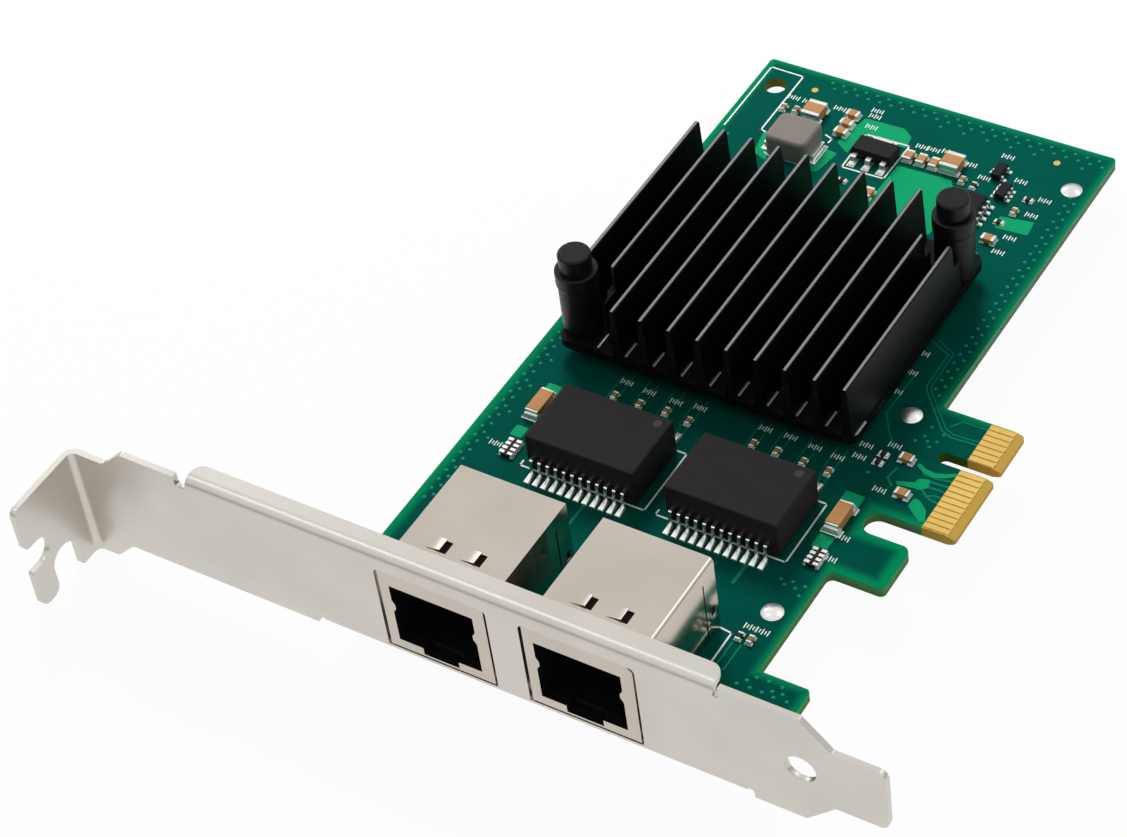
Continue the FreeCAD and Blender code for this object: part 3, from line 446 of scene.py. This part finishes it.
def board_skin(name):
    finish = Finish(name)
    x, y, z = finish.axes()
    broad = finish.grain(0.05, 2.0)
    fine = finish.grain(2.2, 3.0, 0.6)

    def inside(x1, x2, y1, y2):
        across = (x2 - x1) / 2 - abs(x - (x1 + x2) / 2)
        along = (y2 - y1) / 2 - abs(y - (y1 + y2) / 2)
        return across.least(along)

    copper = inside(*COPPER_RECTANGLES[0])
    for rectangle in COPPER_RECTANGLES[1:]:
        copper = copper.most(inside(*rectangle))
    # the deep green is darker towards lower y, nearer the bracket
    deep = finish.blend(broad * 0.6 + y.above(10.0, 50.0) * 0.4,
                        (0.0, 0.064, 0.046), (0.0003, 0.104, 0.073))
    bare = finish.blend(fine, (0.0, 0.21, 0.086), (0.0014, 0.29, 0.115))
    face = finish.blend(copper.above(-0.25, 0.9), bare, deep)
    tan = finish.blend(fine * 0.5 + x.above(TIP_X, 0.2) * 0.5,
                       (0.42, 0.225, 0.035), (0.92, 0.70, 0.24))
    contacts = x.above(CONTACTS_X, 0.05) * y.above(CONTACTS_Y, 0.1)
    face = finish.blend(contacts, face, tan)

    far = y.above(8.0, 3.0)
    upper = finish.blend(far, (0.10, 0.33, 0.11), (0.16, 0.33, 0.21))
    lower = finish.blend(far, (0.10, 0.23, 0.09), (0.13, 0.25, 0.17))
    edge = finish.blend(z.above(STRIPE_Z, 0.3), lower, upper)
    edge = finish.blend(fine * 0.35, edge, (0.13, 0.16, 0.065))
    # painted highlight: a brighter green line along the top of the cut edge, just under the
    # varnish
    edge = finish.blend(z.above(RIM_Z, 0.12) * 0.6, edge, (0.04, 0.40, 0.145))
    corner_hole = x.near(HOLE_X, HOLE_REACH, 0.1) * y.near(HOLE_Y, HOLE_REACH, 0.1)
    edge = finish.blend(corner_hole, edge, (0.20, 0.19, 0.03))
    # painted shade: the cut edge inside the key slot is darkened to a deep olive green
    painted_slot_shade = x.above(SLOT_X, 0.3) * y.near(0.0, SLOT_REACH, 0.1)
    edge = finish.blend(painted_slot_shade, edge, (0.055, 0.125, 0.02))
    edge = finish.blend(contacts, edge, (0.62, 0.40, 0.085))

    on_edge = (1.0 - z.above(EDGE_TOP_Z, 0.02)) * z.above(EDGE_FOOT_Z, 0.02)
    cloth = finish.weave("X") * 0.5 + finish.weave("Y") * 0.5 + fine * 0.4
    return finish.surface(Base_Color=finish.blend(on_edge, face, edge),
                          Roughness=0.34 + on_edge * 0.25 + fine * 0.06,
                          Specular_IOR_Level=0.015,
                          Normal=finish.raised(cloth, 0.006 * MM, 0.35))


board_mask = board_skin("board_mask")
print("board finish made")

# %% [markdown]
# ## Edges that catch light
#
# A CAD edge is perfectly sharp, and a real one never is. For each node a copy of its mesh
# is taken, its loose triangles are merged, flat areas are joined to whole faces, and the
# sharp edges get a narrow bevel. The copy then stands for the node. A weighted normal
# modifier keeps the large flats flat while the bevels stay smooth.

# %% Softened copies of nodes
MERGE_DISTANCE = 1e-6
SAME_FLAT = math.radians(0.6)
SHARP = math.radians(30)
CREASE = math.radians(40)


def merged_copy(node):
    bm = bmesh.new()
    bm.from_mesh(nodes[node].data)
    bmesh.ops.remove_doubles(bm, verts=bm.verts, dist=MERGE_DISTANCE)
    return bm


def bevelled(bm, edges, width, segments, clamp):
    bmesh.ops.bevel(bm, geom=edges, offset=width, offset_type="OFFSET", affect="EDGES",
                    segments=segments, profile=0.5, material=-1, clamp_overlap=clamp)


def show(bm, name, material, slot, weighted=False):
    for face in bm.faces:
        face.smooth = True
    for edge in bm.edges:
        edge.smooth = len(edge.link_faces) == 2 and edge.calc_face_angle(0.0) < CREASE
    piece = linked(bm, name, material)
    if weighted:
        piece.modifiers.new("flats", "WEIGHTED_NORMAL").keep_sharp = True
    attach(piece, "root")
    return piece


def top_folds(bm):
    """Long edges along y of the largest level face, where the sheet is folded down."""
    top = max((f for f in bm.faces if f.normal.z > 0.99), key=lambda f: f.calc_area())
    return [e for e in top.edges if e.calc_length() > 2 * MM and e.calc_face_angle(0.0) > 1.0
            and abs(e.verts[0].co.y - e.verts[1].co.y) > e.calc_length() * 0.9]


def softened(node, width, material, slot, fold_width=None):
    bm = merged_copy(node)
    bmesh.ops.dissolve_limit(bm, angle_limit=SAME_FLAT, verts=bm.verts, edges=bm.edges)
    if fold_width:
        bevelled(bm, top_folds(bm), fold_width * MM, 5, False)
    sharp = [e for e in bm.edges if len(e.link_faces) == 2 and e.calc_face_angle(0.0) > SHARP]
    bevelled(bm, sharp, width * MM, 2, True)
    piece = show(bm, node + "_finished", material, slot, weighted=True)
    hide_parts(node)


def dress(node, material):
    slots = nodes[node].data.materials
    if len(slots):
        for i in range(len(slots)):
            slots[i] = material
    else:
        slots.append(material)


print("piece helpers ready")

# %% Nodes that keep their own mesh
for node, material in (
        ("circuit_board", board_mask), ("edge_contacts", contact_gold),
        ("socket_housing_left", socket_plastic), ("socket_housing_right", socket_plastic),
        ("socket_wires_left", contact_gold), ("socket_wires_right", contact_gold),
        ("controller_chip", chip_plastic), ("thermal_pad", pad_rubber),
        ("transformer_leads_left", leg_metal), ("transformer_leads_right", leg_metal),
        ("regulator_leads", tinned_lead), ("memory_chip_leads", tinned_lead),
        ("transistor_leads", tinned_lead), ("solder_domes", dome_metal),
        ("bracket_screws", screw_steel)):
    dress(node, material)
print("dressed in place")

# %% Nodes whose edges are rounded, with the bevel in millimetres
for node, width, material, slot in (
        ("mounting_bracket", 0.13, bracket_steel, "bracket_steel"),
        ("transformer_body_left", 0.22, module_plastic, "module_plastic"),
        ("transformer_body_right", 0.22, module_plastic, "module_plastic"),
        ("push_pins", 0.15, pin_plastic, "pin_plastic"),
        ("pin_sleeves", 0.15, pin_plastic, "pin_plastic"),
        ("heat_sink", 0.22, sink_aluminium, "sink_aluminium"),
        ("inductor_body", 0.18, inductor_core, "inductor_core"),
        ("inductor_terminals", 0.12, tinned_lead, "tinned_lead"),
        ("regulator_body", 0.08, chip_plastic, "chip_plastic"),
        ("memory_chip_body", 0.06, chip_plastic, "chip_plastic"),
        ("transistor_bodies", 0.05, chip_plastic, "chip_plastic"),
        ("large_capacitor_bodies", 0.06, capacitor_ceramic, "capacitor_ceramic"),
        ("long_capacitor_bodies", 0.06, capacitor_ceramic, "capacitor_ceramic"),
        ("medium_capacitor_bodies", 0.05, capacitor_ceramic, "capacitor_ceramic"),
        ("small_capacitor_bodies", 0.04, small_ceramic_and_shade, "capacitor_ceramic"),
        ("large_capacitor_ends", 0.14, tinned_lead, "tinned_lead"),
        ("long_capacitor_ends", 0.14, tinned_lead, "tinned_lead"),
        ("medium_capacitor_ends", 0.1, tinned_lead, "tinned_lead"),
        ("small_capacitor_ends", 0.08, tinned_lead, "tinned_lead"),
        ("resistor_bodies", 0.03, resistor_film, "resistor_film"),
        ("resistor_ends", 0.06, tinned_lead, "tinned_lead"),
        ("resistor_array_bodies", 0.04, resistor_film, "resistor_film"),
        ("resistor_array_terminals", 0.06, tinned_lead, "tinned_lead")):
    softened(node, width, material, slot)
print("rounded copies made")

# %% Shields: their two long top folds are rounder
for side in ("left", "right"):
    softened("socket_shield_" + side, 0.05, shield_steel, "shield_steel", fold_width=0.7)
print("shields folded")

# %% [markdown]
# ## Places on the board
#
# The small marks were measured in millimetres from the bracket: x from the face of its
# tab, y from the outer face of its plate. One function turns such a pair into the card's
# own frame. Another reads a node and gives the box round each separate solid in it, so
# that solder can be put exactly where a leg or an end stands.

# %% From the bracket's corner to the frame
TAB_TO_TIP = 105.69
PLATE_TO_KEY = 57.65


def spot(x, y):
    return Vector(((x - TAB_TO_TIP) * MM, (y - PLATE_TO_KEY) * MM, 0.0))


def islands_of(node):
    bm = merged_copy(node)
    found, islands = set(), []
    for first in bm.verts:
        if first in found:
            continue
        found.add(first)
        group, queue = [], [first]
        while queue:
            vert = queue.pop()
            group.append(vert.co.copy())
            for edge in vert.link_edges:
                other = edge.other_vert(vert)
                if other not in found:
                    found.add(other)
                    queue.append(other)
        islands.append(group)
    bm.free()
    return islands


def box_of(points):
    return (Vector([min(c[i] for c in points) for i in range(3)]),
            Vector([max(c[i] for c in points) for i in range(3)]))


def solids_of(node):
    return [box_of(group) for group in islands_of(node)]


print("legs on the left module", len(solids_of("transformer_leads_left")))


# %% Small shapes
def cube(bm, matrix):
    return bmesh.ops.create_cube(bm, size=1.0, matrix=matrix)["verts"]


def cone(bm, segments, foot, top, depth, matrix):
    bmesh.ops.create_cone(bm, cap_ends=True, segments=segments, radius1=foot, radius2=top,
                          depth=depth, matrix=matrix)


def filled(low, high):
    """The matrix that spreads a shape of unit size over a box."""
    return Matrix.Translation((low + high) / 2) @ Matrix.Diagonal((*(high - low), 1.0))


def mound(bm, low, high, top_share):
    """A low four sided heap: wide at the foot, narrower at the top."""
    turn = Matrix.Rotation(math.pi / 4, 4, "Z")
    corner = math.sqrt(0.5)
    cone(bm, 4, corner, corner * top_share, 1.0, filled(low, high) @ turn)


def disc(bm, centre, radius, height, segments, top_share=1.0):
    lifted = Matrix.Translation(centre + Vector((0, 0, height / 2)))
    cone(bm, segments, radius, radius * top_share, height, lifted)


def stroke(bm, start, end, width, height):
    run = end - start
    turn = Matrix.Rotation(math.atan2(run.y, run.x), 4, "Z")
    size = Matrix.Diagonal((run.length + width, width, height, 1.0))
    lifted = Matrix.Translation((start + end) / 2 + Vector((0, 0, height / 2)))
    cube(bm, lifted @ turn @ size)


def patches(bm, outlines, height, rounding):
    for outline in outlines:
        face = bm.faces.new([bm.verts.new(spot(x, y)) for x, y in outline])
        face.normal_update()
        if face.normal.z < 0:
            face.normal_flip()
        lifted = bmesh.ops.extrude_face_region(bm, geom=[face])
        for item in lifted["geom"]:
            if isinstance(item, bmesh.types.BMVert):
                item.co.z += height
    upright = [e for e in bm.edges if abs(e.verts[0].co.z - e.verts[1].co.z) > height / 2]
    bevelled(bm, upright, rounding, 3, True)
    bmesh.ops.recalc_face_normals(bm, faces=bm.faces)


print("shape helpers ready")

# %% [markdown]
# ## Marks in the mouldings
#
# A round dimple in a corner shows which leg is the first. It is a shallow dish: a thin
# disc whose inner ring is pushed down. Its top lies a hair above the flat, so that no hole
# is needed.

# %% Dimples on the two modules
DIMPLE_RADIUS, DIMPLE_THICKNESS, DIMPLE_SUNK = 0.62 * MM, 0.06 * MM, 0.024 * MM
DIMPLE_RIM, DIMPLE_SLOPE, DIMPLE_DEPTH = 0.08 * MM, 0.1 * MM, 0.004 * MM

for side, (x, y) in (("left", (64.3, 42.4)), ("right", (85.3, 42.4))):
    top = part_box("transformer_body_" + side)[1][2]
    bm = bmesh.new()
    cone(bm, 32, DIMPLE_RADIUS, DIMPLE_RADIUS, DIMPLE_THICKNESS,
         Matrix.Translation((*spot(x, y).xy, top - DIMPLE_SUNK)))
    dish = max(bm.faces, key=lambda f: f.calc_center_median().z)
    bmesh.ops.inset_region(bm, faces=[dish], thickness=DIMPLE_RIM, depth=0.0)
    bmesh.ops.inset_region(bm, faces=[dish], thickness=DIMPLE_SLOPE, depth=-DIMPLE_DEPTH)
    show(bm, "first_leg_dimple_" + side, dimple_plastic, "module_plastic")
print("dimples", 2)

# %% [markdown]
# ## Copper under the varnish
#
# Wide areas of copper near the surface show as a bright, clean green, and single tracks
# as thin lighter lines. Both stand a hair above the board, because the varnish runs over
# them: the areas are flat outlines pushed up by three hundredths of a millimetre, and
# the tracks are chains of strokes, each of a slightly different height, so that no two
# tops that cross lie in one plane.

# %% Copper finish
def varnish(name, first, second):
    finish = Finish(name)
    fine = finish.grain(2.0, 3.0, 0.6)
    return finish.surface(Base_Color=finish.blend(fine, first, second),
                          Roughness=0.3 + fine * 0.08, Specular_IOR_Level=0.08,
                          Normal=finish.raised(fine, 0.004 * MM, 0.4))


bright_green = varnish("varnish_on_copper", (0.0, 0.30, 0.12), (0.0014, 0.40, 0.16))
track_green = varnish("varnish_on_tracks", (0.0, 0.17, 0.097), (0.0014, 0.23, 0.13))
dot_green = varnish("varnish_in_holes", (0.0015, 0.23, 0.13), (0.011, 0.31, 0.185))
print("varnishes", 3)

# %% Wide copper areas
COPPER_HEIGHT, COPPER_ROUNDING = 0.03 * MM, 0.25 * MM

bm = bmesh.new()
patches(bm, [
    [(94.2, 51.3), (96.6, 52.1), (96.8, 53.0), (98.2, 53.4), (98.7, 52.0), (97.6, 51.1),
     (97.1, 51.2), (94.7, 50.8)],
    [(95.4, 55.0), (95.7, 55.5), (96.8, 54.9), (98.2, 54.7), (99.6, 55.1), (100.9, 55.9),
     (100.9, 55.2), (99.8, 54.4), (98.3, 53.9), (96.9, 54.1)],
    [(97.6, 48.2), (97.9, 49.7), (98.7, 49.5), (100.2, 48.3), (100.9, 46.5), (100.2, 46.2),
     (98.7, 47.3)],
    [(89.3, 47.1), (92.1, 47.1), (92.1, 44.4), (89.3, 44.4)],
    [(89.7, 39.1), (91.9, 39.1), (91.9, 36.6), (89.7, 36.6)],
    [(43.7, 47.6), (45.8, 47.6), (45.8, 45.2), (43.7, 45.2)],
    [(43.9, 39.0), (45.7, 39.0), (45.7, 37.0), (43.9, 37.0)],
    [(57.3, 113.5), (63.6, 113.7), (65.3, 112.4), (65.6, 110.0), (59.6, 110.0),
     (58.6, 108.4), (58.4, 105.6), (56.0, 107.2)],
    [(53.9, 105.4), (57.2, 105.0), (56.4, 100.6), (54.6, 99.2), (53.3, 101.0)],
    [(45.2, 104.9), (47.1, 104.9), (48.4, 99.5), (46.0, 100.4)],
    [(66.2, 106.2), (74.6, 106.5), (76.6, 103.6), (76.9, 95.2), (75.6, 94.0), (67.4, 94.0),
     (66.0, 95.4)],
    [(84.1, 102.5), (89.0, 103.3), (89.3, 100.5), (84.4, 100.1)]],
    COPPER_HEIGHT, COPPER_ROUNDING)
copper_areas = show(bm, "copper_areas", bright_green, "board_mask")
print("copper areas", len(copper_areas.data.polygons), "faces")

# %% Tracks: points and a width, in millimetres
TRACK_HEIGHT, TRACK_HEIGHT_SPREAD = 0.02 * MM, 0.004 * MM
LEG_PITCH = 1.27

track_lines = [
    ([(87.1, 76.3), (90.0, 74.9), (90.0, 68.6), (90.6, 67.5), (95.5, 62.0), (97.1, 61.3),
      (100.8, 61.5)], 0.25),
    ([(87.6, 76.9), (90.6, 75.3), (90.6, 68.8), (91.1, 67.8), (95.9, 62.5), (97.3, 61.9),
      (100.8, 62.1)], 0.2),
    ([(87.7, 70.2), (87.5, 61.7), (89.9, 58.2), (91.6, 56.8)], 0.25),
    ([(96.2, 63.0), (97.4, 64.5), (100.8, 64.5)], 0.2),
    ([(93.4, 53.4), (93.0, 51.5), (94.1, 50.4)], 0.3),
    ([(97.0, 53.9), (98.9, 53.9), (100.8, 54.2)], 0.3),
    ([(98.3, 53.1), (99.9, 53.1), (100.8, 53.2)], 0.35),
    ([(98.5, 52.1), (99.8, 52.2), (100.8, 52.1)], 0.35),
    ([(97.9, 51.5), (99.0, 50.6), (99.8, 50.2), (100.8, 50.1)], 0.3),
    ([(99.0, 50.6), (100.0, 51.1), (100.8, 51.1)], 0.3),
    ([(59.6, 21.5), (59.7, 31.2), (60.3, 34.0)], 0.35),
    ([(83.8, 26.9), (83.9, 31.1)], 0.5),
    ([(86.9, 6.0), (86.9, 12.0), (88.6, 14.2), (88.6, 18.2)], 0.25),
    ([(88.0, 5.0), (88.0, 11.6), (89.8, 14.0), (89.8, 18.2)], 0.25)]
for x in (53.2, 57.05, 61.0, 64.6, 74.4, 77.9, 81.9, 85.7):
    track_lines += [([(x - 0.5, 44.2), (x - 0.5, 47.6), (x - 1.0, 48.6), (x - 1.0, 53.5)], 0.2),
                    ([(x + 0.4, 44.2), (x + 0.4, 53.5)], 0.2)]
for i in range(7):
    for first_x in (50.0, 72.6):
        x = first_x + LEG_PITCH * i
        track_lines.append(([(x, 29.0), (x, 22.5)], 0.25))
bm = bmesh.new()
random.seed(7)
for points, width in track_lines:
    for start, end in zip(points, points[1:]):
        stroke(bm, spot(*start), spot(*end), width * MM,
               TRACK_HEIGHT + random.random() * TRACK_HEIGHT_SPREAD)
tracks = show(bm, "tracks", track_green, "board_mask")
print("track runs", len(tracks.data.polygons) // 6)

# %% [markdown]
# ## Rows of plated holes
#
# Along its rims the board is stitched with small plated holes that the varnish fills,
# two rows side by side with a step of 1.8 mm. They show as pale green dots, on both faces
# of the board. There are hundreds, so each is a flat cone of ten sides.

# %% Plated holes
DOT_RADIUS, DOT_HEIGHT = 0.26 * MM, 0.03 * MM
ROW_STEP, FAR_ROW_STEP = 1.8, 1.85

dots = []
for i in range(45):
    y = 22.4 + ROW_STEP * i
    dots += [(39.7, y), (40.6, y + 0.9)]
for i in range(7, 20, 3):
    dots.append((41.65, 22.6 + ROW_STEP * i))
for i in range(24):
    x = 49.2 + FAR_ROW_STEP * i
    dots += [(x, 118.6), (x + 0.9, 117.5)]
for i in range(10, 24, 2):
    dots.append((49.5 + FAR_ROW_STEP * i, 116.2))
for i in range(24):
    y = 67.6 + ROW_STEP * i
    dots += [(92.3, y), (91.3, y + 0.9)]
dots += [
    (94.1, 62.0), (96.1, 61.3), (94.7, 59.4), (95.9, 59.8), (93.2, 58.9), (94.0, 60.1),
    (95.4, 58.6), (90.3, 51.2), (89.0, 30.1), (90.6, 30.3), (89.8, 29.4), (91.4, 29.4),
    (92.4, 30.2), (92.4, 28.5), (93.2, 13.6), (94.1, 14.5), (95.8, 14.6), (97.7, 14.5),
    (94.1, 12.7), (95.8, 12.7), (96.9, 13.4), (98.3, 13.5), (97.5, 12.6), (99.3, 12.7),
    (92.3, 12.6), (94.6, 10.9), (96.2, 11.2), (98.0, 11.2), (99.6, 10.9)]
bm = bmesh.new()
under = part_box("circuit_board")[0][2]
for x, y in dots:
    place = spot(x, y)
    disc(bm, place, DOT_RADIUS, DOT_HEIGHT, 10, 0.8)
    disc(bm, place + Vector((0, 0, under - DOT_HEIGHT)), DOT_RADIUS, DOT_HEIGHT, 10, 1.1)
show(bm, "plated_holes", dot_green, "board_mask")
print("plated holes", len(dots))

# %% Round gold targets
bm = bmesh.new()
for x, y in ((47.6, 116.1), (86.5, 115.8)):
    disc(bm, spot(x, y), 0.5 * MM, 0.04 * MM, 24)
show(bm, "gold_targets", contact_gold, "contact_gold")
print("gold targets", 2)

# %% [markdown]
# ## White lines
#
# Printed white ink frames each module and marks the place of each small part. Every frame
# is a few strokes. Every mark is a row of five plain ticks, long and short in turn, so
# it has the size and the weight of print and says nothing.

# %% Ink
ink = Finish("white_ink")
ink_grain = ink.grain(6.0, 3.0, 0.6)
white_ink = ink.surface(
    Base_Color=ink.blend(ink_grain, (0.80, 0.86, 0.83), (0.93, 0.95, 0.94)),
    Roughness=0.55 + ink_grain * 0.1, Specular_IOR_Level=0.3,
    Normal=ink.raised(ink_grain, 0.01 * MM, 0.5))
print("ink ready")

# %% Frames and ticks
INK_HEIGHT = 0.035 * MM
FRAME_WIDTH, TICK_WIDTH = 0.25 * MM, 0.16 * MM
TICK_STEP, TICK_REACHES = 0.4, (0.4, 0.22, 0.4, 0.22, 0.4)

frames = [
    [(39.2, 104.0), (39.2, 118.2), (44.6, 118.1), (44.6, 105.2), (45.4, 105.0)],
    [(53.8, 107.9), (55.0, 107.5), (54.9, 106.6)],
    [(47.5, 101.0), (48.6, 100.6)], [(51.1, 100.7), (52.8, 100.7)],
    [(59.0, 110.4), (65.9, 110.6), (65.7, 102.9), (59.1, 102.7), (59.0, 110.4)],
    [(48.2, 32.75), (67.3, 32.75), (67.3, 43.9), (48.2, 43.9)],
    [(48.2, 32.75), (48.2, 33.6)],
    [(69.0, 33.6), (69.0, 32.75), (88.2, 32.75), (88.2, 43.9), (86.6, 43.9)],
    [(69.0, 43.9), (70.2, 43.9)],
    [(85.4, 19.7), (87.8, 19.4), (87.8, 11.5), (85.4, 11.3)]]
marks = [
    (53.3, 52.1), (57.0, 51.8), (61.2, 51.7), (64.7, 52.1), (74.5, 52.4), (78.2, 52.5),
    (82.0, 52.2), (85.5, 51.9), (87.9, 55.4), (88.0, 53.2), (91.3, 56.9), (93.1, 49.0),
    (92.8, 39.6), (43.1, 34.8), (93.0, 35.7), (45.6, 113.4), (48.0, 113.4), (52.9, 113.9),
    (58.2, 115.6), (58.4, 114.4), (59.0, 112.1), (67.6, 111.2), (69.4, 111.3),
    (71.5, 111.7), (75.6, 110.6), (79.7, 114.2), (83.6, 110.2), (88.4, 107.9),
    (88.0, 104.4), (87.3, 99.0), (87.1, 95.8), (89.5, 21.3), (91.2, 21.3), (86.8, 65.9),
    (87.0, 69.9), (86.8, 73.8), (78.6, 108.8)]
bm = bmesh.new()
for points in frames:
    for start, end in zip(points, points[1:]):
        stroke(bm, spot(*start), spot(*end), FRAME_WIDTH, INK_HEIGHT)
for x, y in marks:
    for i, reach in enumerate(TICK_REACHES):
        tick_x = x + TICK_STEP * (i - 2)
        stroke(bm, spot(tick_x, y - reach), spot(tick_x, y + reach), TICK_WIDTH, INK_HEIGHT)
white_lines = show(bm, "white_lines", white_ink, "board_mask")
print("white strokes", len(white_lines.data.polygons) // 6)

# %% [markdown]
# ## Solder
#
# Every leg and every metal end stands in a heap of solder on a tinned pad. A heap is
# wide at the board and narrow at the top. Its place is read from the node that it holds,
# so it can't miss it. At the modules' legs the heap is a wedge: it is wider and lower at
# its outer end, so that its top leans outwards, away from the dark module.

# %% Solder at the modules' legs
WEDGE_OUT, WEDGE_IN = 0.25 * MM, 1.6 * MM
WEDGE_HALF_WIDTHS = {"outer": 0.45 * MM, "inner": 0.31 * MM}
WEDGE_HEIGHTS = {"outer": 0.29 * MM, "inner": 0.6 * MM}
WEDGE_TOP_SHARE, WEDGE_ROUNDING = 0.84, 0.08 * MM

bm = bmesh.new()
for side in ("left", "right"):
    low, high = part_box("transformer_body_" + side)
    middle_y = (low[1] + high[1]) / 2
    for a, b in solids_of("transformer_leads_" + side):
        out = 1 if (a.y + b.y) / 2 > middle_y else -1
        tip = b.y if out > 0 else a.y
        made = cube(bm, Matrix.Identity(4))
        for vert in made:
            end = "outer" if vert.co.y * out > 0 else "inner"
            upper = vert.co.z > 0
            half = WEDGE_HALF_WIDTHS[end] * (WEDGE_TOP_SHARE if upper else 1.0)
            vert.co = Vector(((a.x + b.x) / 2 + math.copysign(half, vert.co.x),
                              tip + out * (WEDGE_OUT if end == "outer" else -WEDGE_IN),
                              WEDGE_HEIGHTS[end] if upper else 0.0))
        raised = {e for v in made for e in v.link_edges
                  if e.verts[0].co.z + e.verts[1].co.z > 0.1 * MM}
        bevelled(bm, list(raised), WEDGE_ROUNDING, 2, False)
module_solder = show(bm, "module_solder", solder_metal, "solder")
print("module solder", len(module_solder.data.polygons), "faces")

# %% Solder at the small parts: how far it spreads, and its share of the end's height
PAD_THICKNESS, PAD_TOP_SHARE = 0.05 * MM, 0.98
HEAP_FOOT_Z, HEAP_LEAST_TOP = 0.04 * MM, 0.12 * MM
HEAP_SPREAD_SHARE, HEAP_TOP_SHARE = 0.8, 0.72
CAP_REACH, CAP_DEPTH, CAP_RISE = 0.4 * MM, 0.1 * MM, 0.03 * MM
PADS_ONLY = ("memory_chip_leads", "transistor_leads", "regulator_leads")

array_middles = [(a.x + b.x) / 2 for a, b in solids_of("resistor_array_bodies")]


def array_cap(bm, a, b):
    """The metal of an array's terminal goes a little way over the top of its body."""
    x = (a.x + b.x) / 2
    body_x = min(array_middles, key=lambda middle: abs(middle - x))
    inward = CAP_REACH if x < body_x else -CAP_REACH
    cube(bm, filled(Vector((min(a.x, a.x + inward), a.y, b.z - CAP_DEPTH)),
                    Vector((max(b.x, b.x + inward), b.y, b.z + CAP_RISE))))


bm = bmesh.new()
for node, spread, share in (
        ("large_capacitor_ends", 0.2, 0.5), ("long_capacitor_ends", 0.45, 0.6),
        ("medium_capacitor_ends", 0.16, 0.5), ("small_capacitor_ends", 0.14, 0.5),
        ("resistor_ends", 0.14, 0.6), ("resistor_array_terminals", 0.12, 0.5),
        ("inductor_terminals", 0.35, 0.35), ("memory_chip_leads", 0.08, 0.14),
        ("transistor_leads", 0.1, 0.2), ("regulator_leads", 0.2, 0.14)):
    grow = Vector((spread * MM, spread * MM, 0))
    for a, b in solids_of(node):
        if node == "resistor_array_terminals":
            array_cap(bm, a, b)
        mound(bm, Vector((a.x, a.y, 0)) - grow, Vector((b.x, b.y, PAD_THICKNESS)) + grow,
              PAD_TOP_SHARE)
        if node not in PADS_ONLY:
            top = max(HEAP_LEAST_TOP, (b.z - a.z) * share)
            mound(bm, Vector((a.x, a.y, HEAP_FOOT_Z)) - grow * HEAP_SPREAD_SHARE,
                  Vector((b.x, b.y, top)) + grow * HEAP_SPREAD_SHARE, HEAP_TOP_SHARE)
part_solder = show(bm, "part_solder", solder_metal, "solder")
print("part solder", len(part_solder.data.polygons), "faces")

# %% [markdown]
# ## The underside
#
# Wire tails and shield lugs come through the board and are soldered below it, each in a
# small cone. The tails are found in the nodes themselves: every point under the board
# belongs to one, and points that lie close together belong to the same one.

# %% Tails that come through the board
TAIL_LEAST, TAIL_SPREAD = 0.1 * MM, 1.2 * MM

tails = []
for node in ("socket_wires_left", "socket_wires_right",
             "socket_shield_left", "socket_shield_right"):
    below = [point for island in islands_of(node) for point in island
             if point.z < under - TAIL_LEAST]
    for point in below:
        near = [tail for tail in tails if (tail[0].xy - point.xy).length < TAIL_SPREAD]
        if near:
            near[0].append(point)
        else:
            tails.append([point])
print("tails", len(tails))

# %% Solder cones under the board
CONE_MARGIN, CONE_DROP, CONE_SHARE, CONE_TIP_SHARE = 0.35 * MM, 0.7 * MM, 0.8, 0.62
RING_MARGIN, RING_THICKNESS = 0.2 * MM, 0.04 * MM

bm = bmesh.new()
for tail in tails:
    a, b = box_of(tail)
    x, y = (a.x + b.x) / 2, (a.y + b.y) / 2
    wide, deep = (b.x - a.x) / 2 + CONE_MARGIN, (b.y - a.y) / 2 + CONE_MARGIN
    drop = min(CONE_DROP, (under - a.z) * CONE_SHARE)
    cone(bm, 16, CONE_TIP_SHARE, 1.0, 1.0, Matrix.Translation((x, y, under - drop / 2))
         @ Matrix.Diagonal((wide, deep, drop, 1.0)))
    ring = Matrix.Diagonal((wide + RING_MARGIN, deep + RING_MARGIN, RING_THICKNESS, 1.0))
    cone(bm, 24, 1.0, 1.0, 1.0, Matrix.Translation((x, y, under - RING_THICKNESS / 2)) @ ring)
show(bm, "under_solder", solder_metal, "solder")
print("solder cones", len(tails))

# %% Sizes, then finish
low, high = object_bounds()
print("visual box", [round(v * 1000, 2) for v in low], [round(v * 1000, 2) for v in high])
